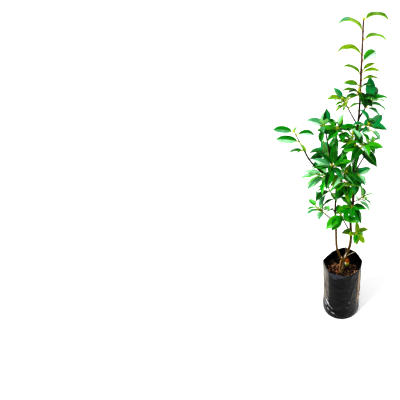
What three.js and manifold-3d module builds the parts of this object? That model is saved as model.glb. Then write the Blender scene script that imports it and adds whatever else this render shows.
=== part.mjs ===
// A young camellia shrub, about a metre tall, in its black polythene grow bag.
// Millimetres, +Z up. The origin is the middle of the bag's flat underside, and +X is to the viewer's right.
//
// The plant has a short flared trunk that forks into two stems. Boughs leave the stems, and each bough ends
// where it enters a mass of foliage. A mass is one solid: a stem, the twigs that branch from it by a seeded
// rule, and leaves whose petioles are sunk into them.

import * as THREE from 'three';
import { mergeVertices } from 'three/addons/utils/BufferGeometryUtils.js';
import Module from 'manifold-3d';

const wasm = await Module();
wasm.setup();

// ---------------------------------------------------------------- driving dimensions

const BAG_RADIUS = 65;
const BAG_HEIGHT = 234;
const BAG_WALL = 1.6;
const BAG_SIDES = 27;
const BAG_LEVELS = [20, 80, 150];
const BAG_FOOT_RADIUS = 60;
const FOOT_BULGE = 1.6;
const FOOT_BULGE_HEIGHT = 22;
const WAIST = 1.2;
const BAG_FOLDS = 6;
const FOLD_DEPTH = 1.3;
const OVAL = 0.7;
const RIM_RISE = 3;
const SOIL_LEVEL = 205;
const SOIL_PAD = 18;
const GAP = 0.3;

const TRUNK = {
  line: [[-3, -25, 210], [-2, -22, 222], [0, -15, 236], [1, -9, 252]],
  radii: [10, 7.2, 6.3, 6.2],
};
const FLARE_LOBES = 3;
const FLARE = 0.14;

const STEMS = {
  right_stem: {
    knots: [[2, -8, 246], [22, 0, 310], [22, 6, 375], [18, 8, 425], [24, 8, 490], [20, 8, 590],
      [18, 8, 665], [25, 8, 760], [25, 6, 815]],
    base: 4.1,
    tip: 2.2,
  },
  left_stem: {
    knots: [[0, -10, 246], [-20, -16, 305], [-26, -20, 400], [-30, -22, 480], [-29, -24, 555],
      [-38, -26, 610], [-52, -26, 685], [-61, -26, 738]],
    base: 3.5,
    tip: 1.6,
  },
};


// Each bough leaves its stem at a height and a heading, and bends upwards over its length.
const BOUGHS = {
  upper_right_bough: { on: 'right_stem', at: 757, azimuth: 7, rise: 62, bend: 0, length: 33, base: 1.5 },
  upper_left_bough: { on: 'right_stem', at: 738, azimuth: 165, rise: 56, bend: 4, length: 50, base: 1.3 },
  mid_right_bough: { on: 'right_stem', at: 714, azimuth: -50, rise: 38, bend: 10, length: 34, base: 1.3 },
  mid_left_bough: { on: 'right_stem', at: 681, azimuth: 215, rise: 50, bend: -4, length: 60, base: 1.3 },
  front_right_bough: { on: 'right_stem', at: 650, azimuth: -73, rise: 34, bend: 16, length: 62, base: 1.4 },
  right_bough: { on: 'right_stem', at: 582, azimuth: 37, rise: 56, bend: -6, length: 68, base: 1.4 },
  back_left_bough: { on: 'right_stem', at: 578, azimuth: 170, rise: 41, bend: -2, length: 74, base: 1.3 },
  front_bough: { on: 'right_stem', at: 528, azimuth: 238, rise: 42, bend: 8, length: 50, base: 1.3 },
  low_bough: { on: 'right_stem', at: 363, azimuth: 228, rise: 58, bend: 8, length: 90, base: 1.5 },
  far_left_bough: { on: 'left_stem', at: 592, azimuth: 186, rise: 23, bend: 48, length: 124, base: 1.9 },
  low_left_bough: { on: 'left_stem', at: 412, azimuth: 192, rise: 62, bend: -14, length: 60, base: 1.5 },
  back_bough: { on: 'right_stem', at: 610, azimuth: 95, rise: 50, bend: 0, length: 55, base: 1.3 },
  back_low_bough: { on: 'right_stem', at: 470, azimuth: 93, rise: 50, bend: 6, length: 57, base: 1.3 },
  // Bare stubs that carry no leaves.
  left_spur: { on: 'left_stem', at: 462, azimuth: 190, rise: 60, bend: 0, length: 24, base: 1.3 },
  dead_twig: { on: 'right_stem', at: 262, azimuth: 275, rise: 78, bend: 14, length: 88, base: 0.9 },
  dead_twig_short: { on: 'right_stem', at: 262, azimuth: 20, rise: 22, bend: 0, length: 38, base: 0.9 },
};

const GOLDEN_TURN = 137.5;
// What most masses share. Angles are in degrees, `open` from the shoot and `turn` from leaf to leaf. `lead`
// gives a mass's outermost leaves: share of the shoot, azimuth, rise, length, arch and roll of each.
const SPRAY = {
  at: null, azimuth: 0, rise: 0, bend: 0, twigs: 0, width: 0.48, open: 55, arch: 32,
  turn: GOLDEN_TURN, crowd: 1.35, shrink: 0.18, first: null, tone: 'mid', tip: 0.8, lead: [],
};
// A mass carries on from its bough's tip, or leaves the side of a stem at the height given.
const MASSES = {
  leader: {
    ...SPRAY, on: 'right_stem', azimuth: 112, rise: 87.8, length: 182, leaves: 0, size: 46, width: 0.42,
    turn: 176, shrink: 0, first: 166, tip: 1.4, seed: 214, tone: 'young',
    lead: [
      [1, 10, 31, 62, 84, 4], [0.87, 184, 56, 68, 98, -6], [0.76, 4, 32, 58, 82, 4],
      [0.58, 184, 45, 62, 90, -6], [0.49, 42, 24, 58, 40, 40], [0.37, 22, 30, 36, 24, 10],
      [0.35, 350, 22, 44, 44, 8], [0.32, 180, 48, 48, 60, -6], [0.24, 0, 28, 40, 56, 4],
      [0.17, 190, 24, 40, 40, -28], [0.06, 184, 30, 42, 46, -4],
    ],
  },
  leader_foot: {
    ...SPRAY, on: 'right_stem', at: 800, azimuth: 250, rise: 70, length: 44, leaves: 4, size: 38,
    open: 60, arch: 40, seed: 227, tone: 'deep',
    lead: [
      [1, 310, -38, 42, 60, 0], [0.9, 196, 2, 40, 40, -24], [0.7, 190, 14, 44, 40, -10],
      [0.5, 340, -20, 38, 40, 20],
    ],
  },
  upper_right: {
    ...SPRAY, on: 'upper_right_bough', length: 22, leaves: 5, size: 50, open: 60, arch: 48, seed: 99,
    lead: [
      [1, 95, 72, 56, 14, -30], [0.9, 4, 30, 46, 60, 14], [0.8, 300, 20, 52, 50, 0],
      [0.6, 330, -10, 50, 40, 20],
    ],
  },
  upper_left: {
    ...SPRAY, on: 'upper_left_bough', length: 30, leaves: 6, twigs: 1, size: 32, width: 0.44, open: 75,
    arch: 35, seed: 215, tone: 'young',
    lead: [
      [1, 186, 18, 40, 50, -20], [0.9, 160, 50, 36, 30, -40], [0.8, 10, 46, 28, 30, 10],
      [0.5, 195, -24, 28, 30, -20],
    ],
  },
  mid_right: {
    ...SPRAY, on: 'mid_right_bough', length: 26, leaves: 6, twigs: 1, size: 44, width: 0.52, open: 70,
    arch: 40, seed: 302,
    lead: [
      [1, 95, 70, 54, 16, -30], [0.8, 345, 4, 46, 40, 20],
    ],
  },
  mid_left: {
    ...SPRAY, on: 'mid_left_bough', length: 26, leaves: 6, size: 42, open: 65, arch: 40, seed: 378,
    lead: [
      [0.9, 203, 8, 52, 24, -58], [0.8, 350, 22, 42, 40, 30], [1, 60, 60, 36, 30, 0],
    ],
  },
  front_right: {
    ...SPRAY, on: 'front_right_bough', length: 30, leaves: 9, twigs: 1, size: 56, width: 0.5, open: 65,
    arch: 30, seed: 320,
  },
  right: {
    ...SPRAY, on: 'right_bough', bend: 6, length: 42, leaves: 10, twigs: 1, size: 34, width: 0.45,
    open: 70, arch: 40, seed: 84,
  },
  back_left: {
    ...SPRAY, on: 'back_left_bough', length: 22, leaves: 9, size: 62, open: 40, arch: 30, seed: 366,
  },
  front: {
    ...SPRAY, on: 'front_bough', length: 28, leaves: 7, size: 52, width: 0.5, open: 60, arch: 30,
    seed: 179,
  },
  right_centre: {
    ...SPRAY, on: 'right_stem', at: 575, azimuth: -68, rise: 40, length: 38, leaves: 4, size: 54,
    open: 75, arch: 35, seed: 301,
  },
  lower_right: {
    ...SPRAY, on: 'right_stem', at: 482, azimuth: 32, rise: 2, bend: 20, length: 40, leaves: 6,
    size: 46, width: 0.46, open: 70, arch: 30, seed: 100,
  },
  lower_front: {
    ...SPRAY, on: 'right_stem', at: 475, azimuth: 264, rise: 18, bend: 20, length: 48, leaves: 7,
    size: 50, width: 0.5, open: 50, arch: 30, seed: 179,
  },
  low: {
    ...SPRAY, on: 'low_bough', length: 32, leaves: 8, size: 50, width: 0.52, open: 72, seed: 341,
    lead: [
      [0.8, 222, -22, 58, 34, -30], [0.7, 345, 6, 58, 40, 44], [0.9, 20, 26, 56, 40, 30],
      [1, 120, 56, 52, 26, 20],
    ],
  },
  low_right: {
    ...SPRAY, on: 'right_stem', at: 362, azimuth: -59, rise: 28, bend: 10, length: 36, leaves: 8,
    size: 40, width: 0.5, open: 70, arch: 45, seed: 267, tone: 'young',
  },
  far_left: {
    ...SPRAY, on: 'far_left_bough', length: 64, leaves: 2, size: 30, width: 0.42, open: 60, arch: 40,
    seed: 46,
    lead: [
      [1, 184, 18, 58, 62, -44], [0.5, 186, 18, 64, 56, -44], [0.84, 0, 22, 52, 84, 30],
      [0.06, 184, 6, 36, 40, -20], [0.46, 312, -24, 25, 30, 0],
    ],
  },
  left_top: {
    ...SPRAY, on: 'left_stem', azimuth: 160, rise: 78, length: 14, leaves: 4, size: 42, width: 0.58,
    open: 45, arch: 37, seed: 235,
    lead: [
      [0.8, 60, 74, 42, 14, 80], [0.9, 180, 30, 44, 30, -20], [0.5, 230, -50, 34, 40, 0],
    ],
  },
  left_centre: {
    ...SPRAY, on: 'left_stem', at: 618, azimuth: 262, rise: 55, length: 32, leaves: 8, size: 54,
    width: 0.44, open: 60, arch: 30, seed: 203,
    lead: [
      [1, 110, 76, 56, 14, -20], [0.9, 70, 66, 58, 16, 20], [0.7, 0, 24, 54, 30, 30],
      [0.8, 190, 30, 54, 40, -40],
    ],
  },
  left_fan: {
    ...SPRAY, on: 'left_stem', at: 585, azimuth: 190, rise: 22, bend: 8, length: 52, leaves: 9,
    size: 56, width: 0.42, arch: 30, seed: 10,
  },
  left_inner: {
    ...SPRAY, on: 'left_stem', at: 598, azimuth: -20, rise: 30, bend: 10, length: 40, leaves: 4,
    size: 60, width: 0.5, open: 70, arch: 20, seed: 297,
  },
  low_left: {
    ...SPRAY, on: 'low_left_bough', length: 38, leaves: 11, twigs: 1, size: 46, width: 0.44, open: 60,
    arch: 35, seed: 144,
  },
  back: { ...SPRAY, on: 'back_bough', length: 38, leaves: 8, size: 54, open: 70, arch: 40, seed: 7 },
  back_low: {
    ...SPRAY, on: 'back_low_bough', length: 34, leaves: 10, size: 58, open: 70, arch: 40, seed: 186,
  },
  back_left_stem: {
    ...SPRAY, on: 'left_stem', at: 510, azimuth: 128, rise: 30, bend: 10, length: 60, leaves: 6,
    size: 52, width: 0.46, open: 80, arch: 40, seed: 281,
  },
};

// How the limbs and shoots are divided, and what all shoots and leaves share.
const STEM_STEP = 30;
const STEM_SIDES = 8;
const TRUNK_SIDES = 12;
const BOUGH_STEPS = 5;
const BOUGH_SIDES = 6;
const BOUGH_TAPER = 0.8;
const SHOOT_BASE = 1.3;
const SHOOT_STEPS = 4;
const SHOOT_SIDES = 4;
const TWIG_BASE = 0.95;
const TWIG_TIP = 0.8;
const TWIG_BEND = 8;
const TWIG_STEPS = 3;
const TWIG_SIDES = 3;
const TWIG_LEAVES = 3;
const BARE_BESIDE_STEM = 0.45;
const BARE_AT_TIP = 0.06;
const BARE_ON_TWIG = 0.4;
const LAST_LEAF = 0.985;
const PETIOLE_RADIUS = 0.9;
const RIB_DEPTH = 0.9;
const SOLID_FOLD = 0.3;
const BLADE_STATIONS = [0.25, 0.65];
const LEAD_PETIOLE = 7;
const LEAD_FOLD = 24;
const NEARLY_UPRIGHT = 0.98;
const NEARLY_ALONG = 0.96;

// Room kept between a leaf and another mass's leaves, leaves of its own mass, and limbs.
const LEAF_ROOM = 6;
const OWN_ROOM = 3.5;
const OUTER_SAMPLES = 15;
const LIMB_ROOM = 2.6;
const TRIES = 6;
const TRY_TURN = 31;

// ---------------------------------------------------------------- the rule of growth

const UP = new THREE.Vector3(0, 0, 1);
const rad = THREE.MathUtils.degToRad;
const deg = THREE.MathUtils.radToDeg;
const vector = (xyz) => new THREE.Vector3(...xyz);
const stepped = (point, way, distance) => point.clone().addScaledVector(way, distance);

function heading(azimuth, rise) {
  const level = Math.cos(rad(rise));
  const turn = rad(azimuth);
  return new THREE.Vector3(level * Math.cos(turn), level * Math.sin(turn), Math.sin(rad(rise)));
}

function turned(way, axis, degrees) {
  return way.clone().applyAxisAngle(axis, rad(degrees));
}

// A level direction square to a shoot that runs along the given way.
function sideOf(along) {
  if (Math.abs(along.z) >= NEARLY_UPRIGHT) return new THREE.Vector3(1, 0, 0);
  return along.clone().cross(UP).normalize();
}

// Repeatable numbers from 0 to 1 (Park and Miller).
function randoms(seed) {
  let state = (seed * 7919 + 104729) % 2147483647;
  const draw = () => {
    state = (state * 16807) % 2147483647;
    return state / 2147483647;
  };
  for (let k = 0; k < 3; k++) draw();
  return draw;
}

// The point at height z on the smooth line through knots that rise in z.
function onKnots(knots, z) {
  let i = 0;
  while (i < knots.length - 2 && z > knots[i + 1][2]) i++;
  const low = knots[i];
  const high = knots[i + 1];
  const step = high[2] - low[2];
  const t = (z - low[2]) / step;
  const slope = (j, c) => {
    const before = knots[Math.max(j - 1, 0)];
    const after = knots[Math.min(j + 1, knots.length - 1)];
    return (after[c] - before[c]) / (after[2] - before[2]);
  };
  const smooth = (c) =>
    (2 * t ** 3 - 3 * t * t + 1) * low[c] + (t ** 3 - 2 * t * t + t) * step * slope(i, c)
    + (3 * t * t - 2 * t ** 3) * high[c] + (t ** 3 - t * t) * step * slope(i + 1, c);
  return new THREE.Vector3(smooth(0), smooth(1), z);
}

// A tapering limb along a line of points; a mark is a length along it.
class Limb {
  constructor(points, base, tip) {
    this.points = points;
    this.base = base;
    this.tip = tip;
    this.marks = [0];
    for (let i = 1; i < points.length; i++) {
      this.marks.push(this.marks[i - 1] + points[i].distanceTo(points[i - 1]));
    }
    this.length = this.marks[points.length - 1];
  }

  at(mark) {
    let i = 0;
    while (i < this.points.length - 2 && mark > this.marks[i + 1]) i++;
    const share = (mark - this.marks[i]) / (this.marks[i + 1] - this.marks[i]);
    const along = this.points[i + 1].clone().sub(this.points[i]).normalize();
    return { point: this.points[i].clone().lerp(this.points[i + 1], share), along };
  }

  radius(mark) {
    return this.base + (this.tip - this.base) * mark / this.length;
  }

  markAtHeight(z) {
    let i = 0;
    while (this.points[i + 1].z < z) i++;
    const share = (z - this.points[i].z) / (this.points[i + 1].z - this.points[i].z);
    return this.marks[i] + share * (this.marks[i + 1] - this.marks[i]);
  }
}

// Points of a limb that starts at one heading and bends upwards by `bend` degrees along its length.
function curved(start, { azimuth, rise, bend, length }, steps) {
  const points = [start];
  for (let k = 0; k < steps; k++) {
    const way = heading(azimuth, rise + bend * (k + 0.5) / steps);
    points.push(stepped(points[k], way, length / steps));
  }
  return points;
}

function stemLimb({ knots, base, tip }) {
  const low = knots[0][2];
  const high = knots[knots.length - 1][2];
  const steps = Math.round((high - low) / STEM_STEP);
  const points = [];
  for (let k = 0; k <= steps; k++) points.push(onKnots(knots, low + (high - low) * k / steps));
  return new Limb(points, base, tip);
}

function limbsOfPlant() {
  const limbs = {};
  for (const [name, row] of Object.entries(STEMS)) limbs[name] = stemLimb(row);
  for (const [name, row] of Object.entries(BOUGHS)) {
    const stem = limbs[row.on];
    const start = stem.at(stem.markAtHeight(row.at)).point;
    limbs[name] = new Limb(curved(start, row, BOUGH_STEPS), row.base, row.base * BOUGH_TAPER);
  }
  return limbs;
}

// The stem of a mass. It carries on from its bough's tip, or leaves the side of the stem named in the row.
function stemOfMass(row, limbs) {
  const parent = limbs[row.on];
  if (row.at !== null) {
    const start = parent.at(parent.markAtHeight(row.at)).point;
    const stem = new Limb(curved(start, row, SHOOT_STEPS), SHOOT_BASE, row.tip);
    return Object.assign(stem, { bare: BARE_BESIDE_STEM });
  }
  const { point, along } = parent.at(parent.length);
  const run = { ...row };
  if (row.rise === 0) {
    run.azimuth = deg(Math.atan2(along.y, along.x));
    run.rise = deg(Math.asin(along.z));
  }
  const stem = new Limb(curved(stepped(point, along, GAP), run, SHOOT_STEPS), parent.tip, row.tip);
  return Object.assign(stem, { bare: BARE_AT_TIP });
}

// The stem of a mass and the twigs that branch from it.
function shootsOfMass(row, limbs, others, draw) {
  const between = (low, high) => low + (high - low) * draw();
  const stem = stemOfMass(row, limbs);
  const shoots = [stem];
  for (let k = 0; k < row.twigs; k++) {
    const { point, along } = stem.at(stem.length * between(0.3, 0.4));
    const out = turned(sideOf(along), along, between(0, 360));
    const lean = rad(between(48, 62));
    const way = along.clone().multiplyScalar(Math.cos(lean)).addScaledVector(out, Math.sin(lean));
    const run = {
      azimuth: deg(Math.atan2(way.y, way.x)),
      rise: deg(Math.asin(way.z)),
      bend: TWIG_BEND,
      length: stem.length * between(0.5, 0.7),
    };
    const twig = new Limb(curved(point, run, TWIG_STEPS), TWIG_BASE, TWIG_TIP);
    if (!others.some((other) => touchesLimb(twig.points.slice(1), other))) {
      shoots.push(Object.assign(twig, { bare: BARE_ON_TWIG }));
    }
  }
  return shoots;
}

// ---------------------------------------------------------------- leaves

// A leaf: a petiole from its root, then a blade that arches away from its face and folds up along the rib.
function makeLeaf(root, way, face, measures) {
  const flat = face.clone().addScaledVector(way, -face.dot(way)).normalize();
  const up = turned(flat, way, measures.roll);
  return { root, way, face: up, side: way.clone().cross(up), ...measures };
}

const outlineShape = (share) => share ** 0.7 * (1 - share) ** 1.05;
const OUTLINE_PEAK = outlineShape(0.4);

function rib(leaf, share) {
  const turn = rad(leaf.arch) * share;
  const bow = leaf.length / rad(leaf.arch);
  const point = stepped(leaf.root, leaf.way, leaf.petiole + bow * Math.sin(turn));
  point.addScaledVector(leaf.face, -bow * (1 - Math.cos(turn)));
  const up = leaf.face.clone().multiplyScalar(Math.cos(turn)).addScaledVector(leaf.way, Math.sin(turn));
  return { point, up };
}

// The point of the blade at a share of its length, and across it from -1 to 1.
function onBlade(leaf, share, across) {
  const { point, up } = rib(leaf, share);
  const half = leaf.width / 2 * outlineShape(share) / OUTLINE_PEAK;
  point.addScaledVector(leaf.side, across * half * Math.cos(rad(leaf.fold)));
  return point.addScaledVector(up, Math.abs(across) * half * Math.sin(rad(leaf.fold)));
}

// Where a leaf's upper side looks before it is made square to the leaf.
function faceOf(along, way) {
  const face = along.clone().multiplyScalar(0.55).addScaledVector(UP, 0.85);
  if (Math.abs(face.clone().normalize().dot(way)) > NEARLY_ALONG) {
    face.copy(along).addScaledVector(way, -0.5).addScaledVector(UP, 0.1);
  }
  return face;
}

// Points that stand for the leaf when it is tested against its neighbours: petiole, tip, then the blade.
function samplesOf(leaf) {
  const points = [stepped(leaf.root, leaf.way, leaf.petiole * 0.75), rib(leaf, 1).point];
  for (const share of [0.08, 0.24, 0.4, 0.56, 0.72, 0.88]) {
    for (const across of [-0.9, -0.45, 0, 0.45, 0.9]) points.push(onBlade(leaf, share, across));
  }
  return points;
}

function touchesLimb(points, limb) {
  const nearest = new THREE.Vector3();
  for (let i = 0; i < limb.points.length - 1; i++) {
    const line = new THREE.Line3(limb.points[i], limb.points[i + 1]);
    for (const point of points) {
      line.closestPointToPoint(point, true, nearest);
      if (nearest.distanceTo(point) < limb.base + LIMB_ROOM) return true;
    }
  }
  return false;
}

function touches(points, others, room) {
  const near = new THREE.Box3().setFromPoints(points).expandByScalar(room);
  for (const other of others) {
    if (!near.containsPoint(other)) continue;
    if (points.some((point) => point.distanceTo(other) < room)) return true;
  }
  return false;
}

// The leaves of one mass, round each shoot in turn. A leaf that would touch something is turned round its
// shoot, and left out when no turn clears it.
function leavesOfMass(row, shoots, draw, parent, others, placed) {
  const between = (low, high) => low + (high - low) * draw();
  const first = row.first === null ? between(0, 360) : row.first;
  const leaves = [];
  const own = [];
  for (const [share, azimuth, rise, length, arch, roll] of row.lead) {
    const { point, along } = shoots[0].at(shoots[0].length * share);
    const way = heading(azimuth, rise);
    const width = length * row.width;
    const measures = { length, width, petiole: LEAD_PETIOLE, arch, fold: LEAD_FOLD, roll };
    const leaf = makeLeaf(point, way, faceOf(along, way), measures);
    const samples = samplesOf(leaf);
    const blade = samples.slice(1);
    if (others.some((other) => touchesLimb(samples, other)) || touchesLimb(blade, parent)) continue;
    if (touches(samples, placed, LEAF_ROOM)) continue;
    leaves.push(leaf);
    own.push(...samples.slice(OUTER_SAMPLES));
  }
  for (const shoot of shoots) {
    const count = shoot === shoots[0] ? row.leaves - TWIG_LEAVES * (shoots.length - 1) : TWIG_LEAVES;
    for (let k = 0; k < count; k++) {
      const share = count > 1 ? k / (count - 1) : 1;
      const crowded = 1 - (1 - share) ** row.crowd;
      const { point, along } = shoot.at(shoot.length * (shoot.bare + (1 - shoot.bare) * crowded * LAST_LEAF));
      const azimuth = first + k * row.turn + between(-15, 15);
      const opening = rad(row.open * (1.15 - 0.5 * share) + between(-8, 8));
      const length = row.size * between(0.82, 1.18) * (1 - row.shrink * share);
      const measures = {
        length,
        width: length * row.width * between(0.92, 1.08),
        petiole: between(5, 9),
        arch: row.arch * between(0.7, 1.3),
        fold: between(14, 28),
        roll: between(-18, 18),
      };
      for (let attempt = 0; attempt < TRIES; attempt++) {
        const out = turned(sideOf(along), along, azimuth + attempt * TRY_TURN);
        const way = along.clone().multiplyScalar(Math.cos(opening)).addScaledVector(out, Math.sin(opening));
        const leaf = makeLeaf(point, way.normalize(), faceOf(along, way), measures);
        const samples = samplesOf(leaf);
        const blade = samples.slice(1);
        const outer = samples.slice(OUTER_SAMPLES);
        if (others.some((other) => touchesLimb(samples, other)) || touchesLimb(blade, parent)) continue;
        if (touches(samples, placed, LEAF_ROOM) || touches(outer, own, OWN_ROOM)) continue;
        leaves.push(leaf);
        own.push(...outer);
        break;
      }
    }
  }
  return leaves;
}

// The whole plant: its limbs, and the shoots and leaves of each mass.
function grow() {
  const limbs = limbsOfPlant();
  const shoots = {};
  const draws = {};
  for (const [name, row] of Object.entries(MASSES)) {
    draws[name] = randoms(row.seed);
    const others = Object.keys(limbs).filter((limb) => limb !== row.on).map((limb) => limbs[limb]);
    others.push(...Object.values(shoots).flat());
    shoots[name] = shootsOfMass(row, limbs, others, draws[name]);
  }
  const leaves = {};
  const placed = [];
  for (const [name, row] of Object.entries(MASSES)) {
    const others = Object.keys(limbs).filter((limb) => limb !== row.on).map((limb) => limbs[limb]);
    for (const [mass, list] of Object.entries(shoots)) if (mass !== name) others.push(...list);
    leaves[name] = leavesOfMass(row, shoots[name], draws[name], limbs[row.on], others, placed);
    for (const leaf of leaves[name]) placed.push(...samplesOf(leaf));
  }
  return { limbs, shoots, leaves };
}

// ---------------------------------------------------------------- solids

// A closed surface through rings of points that run counter-clockwise about the way they follow each other.
// A ring of a single point closes that end; a wider end is closed by a flat fan.
function loft(rings) {
  const sides = Math.max(...rings.map((ring) => ring.length));
  const starts = [];
  const positions = [];
  for (const ring of rings) {
    starts.push(positions.length / 3);
    for (const point of ring) positions.push(point.x, point.y, point.z);
  }
  const index = [];
  const vertex = (ring, j) => starts[ring] + (rings[ring].length === 1 ? 0 : j % sides);
  for (let i = 0; i < rings.length - 1; i++) {
    for (let j = 0; j < sides; j++) {
      if (rings[i].length > 1) index.push(vertex(i, j), vertex(i, j + 1), vertex(i + 1, j + 1));
      if (rings[i + 1].length > 1) index.push(vertex(i, j), vertex(i + 1, j + 1), vertex(i + 1, j));
    }
  }
  const last = rings.length - 1;
  for (let j = 1; j < sides - 1; j++) {
    if (rings[0].length > 1) index.push(vertex(0, 0), vertex(0, j + 1), vertex(0, j));
    if (rings[last].length > 1) index.push(vertex(last, 0), vertex(last, j), vertex(last, j + 1));
  }
  const geometry = new THREE.BufferGeometry();
  geometry.setAttribute('position', new THREE.Float32BufferAttribute(positions, 3));
  geometry.setIndex(index);
  return geometry;
}

function solidOf(geometry) {
  const merged = mergeVertices(geometry, 1e-5);
  return new wasm.Manifold(new wasm.Mesh({
    numProp: 3,
    vertProperties: new Float32Array(merged.attributes.position.array),
    triVerts: new Uint32Array(merged.index.array),
  }));
}

function geometryOf(solid) {
  const mesh = solid.getMesh();
  const geometry = new THREE.BufferGeometry();
  geometry.setAttribute('position', new THREE.BufferAttribute(mesh.vertProperties, 3));
  geometry.setIndex(new THREE.BufferAttribute(mesh.triVerts, 1));
  return geometry;
}

// Rings square to a limb's line, kept from twisting as it bends.
function limbSurface(limb, sides, extra = 0) {
  const { points, marks } = limb;
  let side = sideOf(points[1].clone().sub(points[0]).normalize());
  const rings = points.map((point, i) => {
    const before = points[Math.max(i - 1, 0)];
    const after = points[Math.min(i + 1, points.length - 1)];
    const along = after.clone().sub(before).normalize();
    side = side.clone().addScaledVector(along, -side.dot(along)).normalize();
    const other = along.clone().cross(side);
    const radius = limb.radius(marks[i]) + extra;
    const ring = [];
    for (let j = 0; j < sides; j++) {
      const angle = 2 * Math.PI * j / sides;
      ring.push(stepped(stepped(point, side, radius * Math.cos(angle)), other, radius * Math.sin(angle)));
    }
    return ring;
  });
  return loft(rings);
}

// A leaf: a three-sided petiole, then a blade with thin margins and a ridge along the rib below.
function leafSurface(leaf) {
  const petiole = (centre) => [
    stepped(stepped(centre, leaf.side, PETIOLE_RADIUS), leaf.face, PETIOLE_RADIUS / 2),
    stepped(centre, leaf.face, -PETIOLE_RADIUS),
    stepped(stepped(centre, leaf.side, -PETIOLE_RADIUS), leaf.face, PETIOLE_RADIUS / 2),
  ];
  const shallow = { ...leaf, fold: leaf.fold * SOLID_FOLD };
  const rings = [petiole(leaf.root), petiole(rib(leaf, 0).point)];
  for (const share of BLADE_STATIONS) {
    const { point, up } = rib(leaf, share);
    rings.push([onBlade(shallow, share, 1), stepped(point, up, -RIB_DEPTH), onBlade(shallow, share, -1)]);
  }
  rings.push([rib(leaf, 1).point]);
  return loft(rings);
}

function massSolid(shoots, leaves) {
  let solid = solidOf(limbSurface(shoots[0], SHOOT_SIDES));
  for (const twig of shoots.slice(1)) solid = solid.add(solidOf(limbSurface(twig, TWIG_SIDES)));
  for (const leaf of leaves) solid = solid.add(solidOf(leafSurface(leaf)));
  return solid;
}

// Level rings from the flared foot to the fork. The foot is cut flat where it stands on the potting mix.
function trunkSurface(extra = 0) {
  const rings = TRUNK.line.map((xyz, i) => {
    const fall = 1 - i / (TRUNK.line.length - 1);
    const ring = [];
    for (let j = 0; j < TRUNK_SIDES; j++) {
      const angle = 2 * Math.PI * j / TRUNK_SIDES;
      const radius = TRUNK.radii[i] * (1 + FLARE * fall * fall * Math.cos(FLARE_LOBES * angle)) + extra;
      ring.push(vector([xyz[0] + radius * Math.cos(angle), xyz[1] + radius * Math.sin(angle), xyz[2]]));
    }
    return ring;
  });
  if (extra > 0) {
    for (const point of rings[0]) point.z -= extra;
    for (const point of rings[rings.length - 1]) point.z += extra;
  }
  return loft(rings);
}

// Outer radius of the bag: slack at the foot, drawn in at the middle, with soft folds that grow to the rim.
function bagRadius(angle, z) {
  const height = z / BAG_HEIGHT;
  const foot = FOOT_BULGE * Math.exp(-(((z - FOOT_BULGE_HEIGHT) / 20) ** 2));
  const waist = -WAIST * Math.sin(Math.PI * height);
  const folds = FOLD_DEPTH * height * Math.cos(BAG_FOLDS * angle + 0.5);
  const oval = OVAL * Math.cos(2 * angle + 0.8);
  return BAG_RADIUS + foot + waist + folds + oval;
}

const rimHeight = (angle) => BAG_HEIGHT + RIM_RISE * (Math.sin(angle) + 0.4 * Math.cos(3 * angle + 0.6));

function ringOf(sides, place) {
  return Array.from({ length: sides }, (_, j) => place(2 * Math.PI * j / sides));
}

function bagRing(z, inset, limit = Infinity) {
  return ringOf(BAG_SIDES, (angle) => {
    const radius = Math.min(bagRadius(angle, z), limit) - inset;
    return vector([radius * Math.cos(angle), radius * Math.sin(angle), z]);
  });
}

function bagSurface() {
  const rim = (inset) => ringOf(BAG_SIDES, (angle) => {
    const radius = bagRadius(angle, BAG_HEIGHT) - inset;
    return vector([radius * Math.cos(angle), radius * Math.sin(angle), rimHeight(angle)]);
  });
  return loft([
    bagRing(0, 0, BAG_FOOT_RADIUS),
    bagRing(3, 0, BAG_FOOT_RADIUS + 4),
    ...BAG_LEVELS.map((z) => bagRing(z, 0)),
    rim(0),
    rim(BAG_WALL),
    ...BAG_LEVELS.toReversed().map((z) => bagRing(z, BAG_WALL)),
    bagRing(3, BAG_WALL, BAG_FOOT_RADIUS + 4),
    bagRing(BAG_WALL, BAG_WALL, BAG_FOOT_RADIUS),
  ]);
}

// Potting mix that fills the bag and rises to a level pad round the foot of the trunk.
function soilSurface() {
  const inset = BAG_WALL + 2 * GAP;
  const [footX, footY, footZ] = TRUNK.line[0];
  const edge = (angle) => {
    const radius = bagRadius(angle, SOIL_LEVEL) - inset;
    const z = SOIL_LEVEL - 1.5 + 1.5 * Math.cos(2 * angle - 0.6);
    return vector([radius * Math.cos(angle), radius * Math.sin(angle), z]);
  };
  const pad = (angle) => vector([
    footX + SOIL_PAD * Math.cos(angle), footY + SOIL_PAD * Math.sin(angle), footZ - GAP]);
  const between = (share, lump) => ringOf(BAG_SIDES, (angle) => {
    const point = edge(angle).lerp(pad(angle), share);
    point.z += lump * Math.cos(5 * angle + 9 * share);
    return point;
  });
  return loft([
    bagRing(BAG_WALL + GAP, inset, BAG_FOOT_RADIUS),
    bagRing(3 + GAP, inset, BAG_FOOT_RADIUS + 4),
    ...BAG_LEVELS.filter((z) => z < SOIL_LEVEL - 10).map((z) => bagRing(z, inset)),
    ringOf(BAG_SIDES, edge),
    between(0.3, 1.6),
    between(0.65, 1.2),
    ringOf(BAG_SIDES, pad),
  ]);
}

// ---------------------------------------------------------------- materials

function material(colour, roughness) {
  return new THREE.MeshStandardMaterial({ color: colour, roughness, metalness: 0 });
}

const FILM = material('#1b1b1d', 0.35);
const POTTING_MIX = material('#3c311f', 0.95);
const OLD_BARK = material('#6f5c40', 0.85);
const YOUNG_BARK = material('#6b4a25', 0.75);
const FOLIAGE = {
  young: material('#6fae22', 0.4),
  mid: material('#2f7d1e', 0.35),
  deep: material('#1d5a16', 0.32),
};

// ---------------------------------------------------------------- the object

const shrub = new THREE.Group();

function place(name, geometry, finish) {
  const mesh = new THREE.Mesh(geometry, finish);
  mesh.name = name;
  shrub.add(mesh);
}

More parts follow.
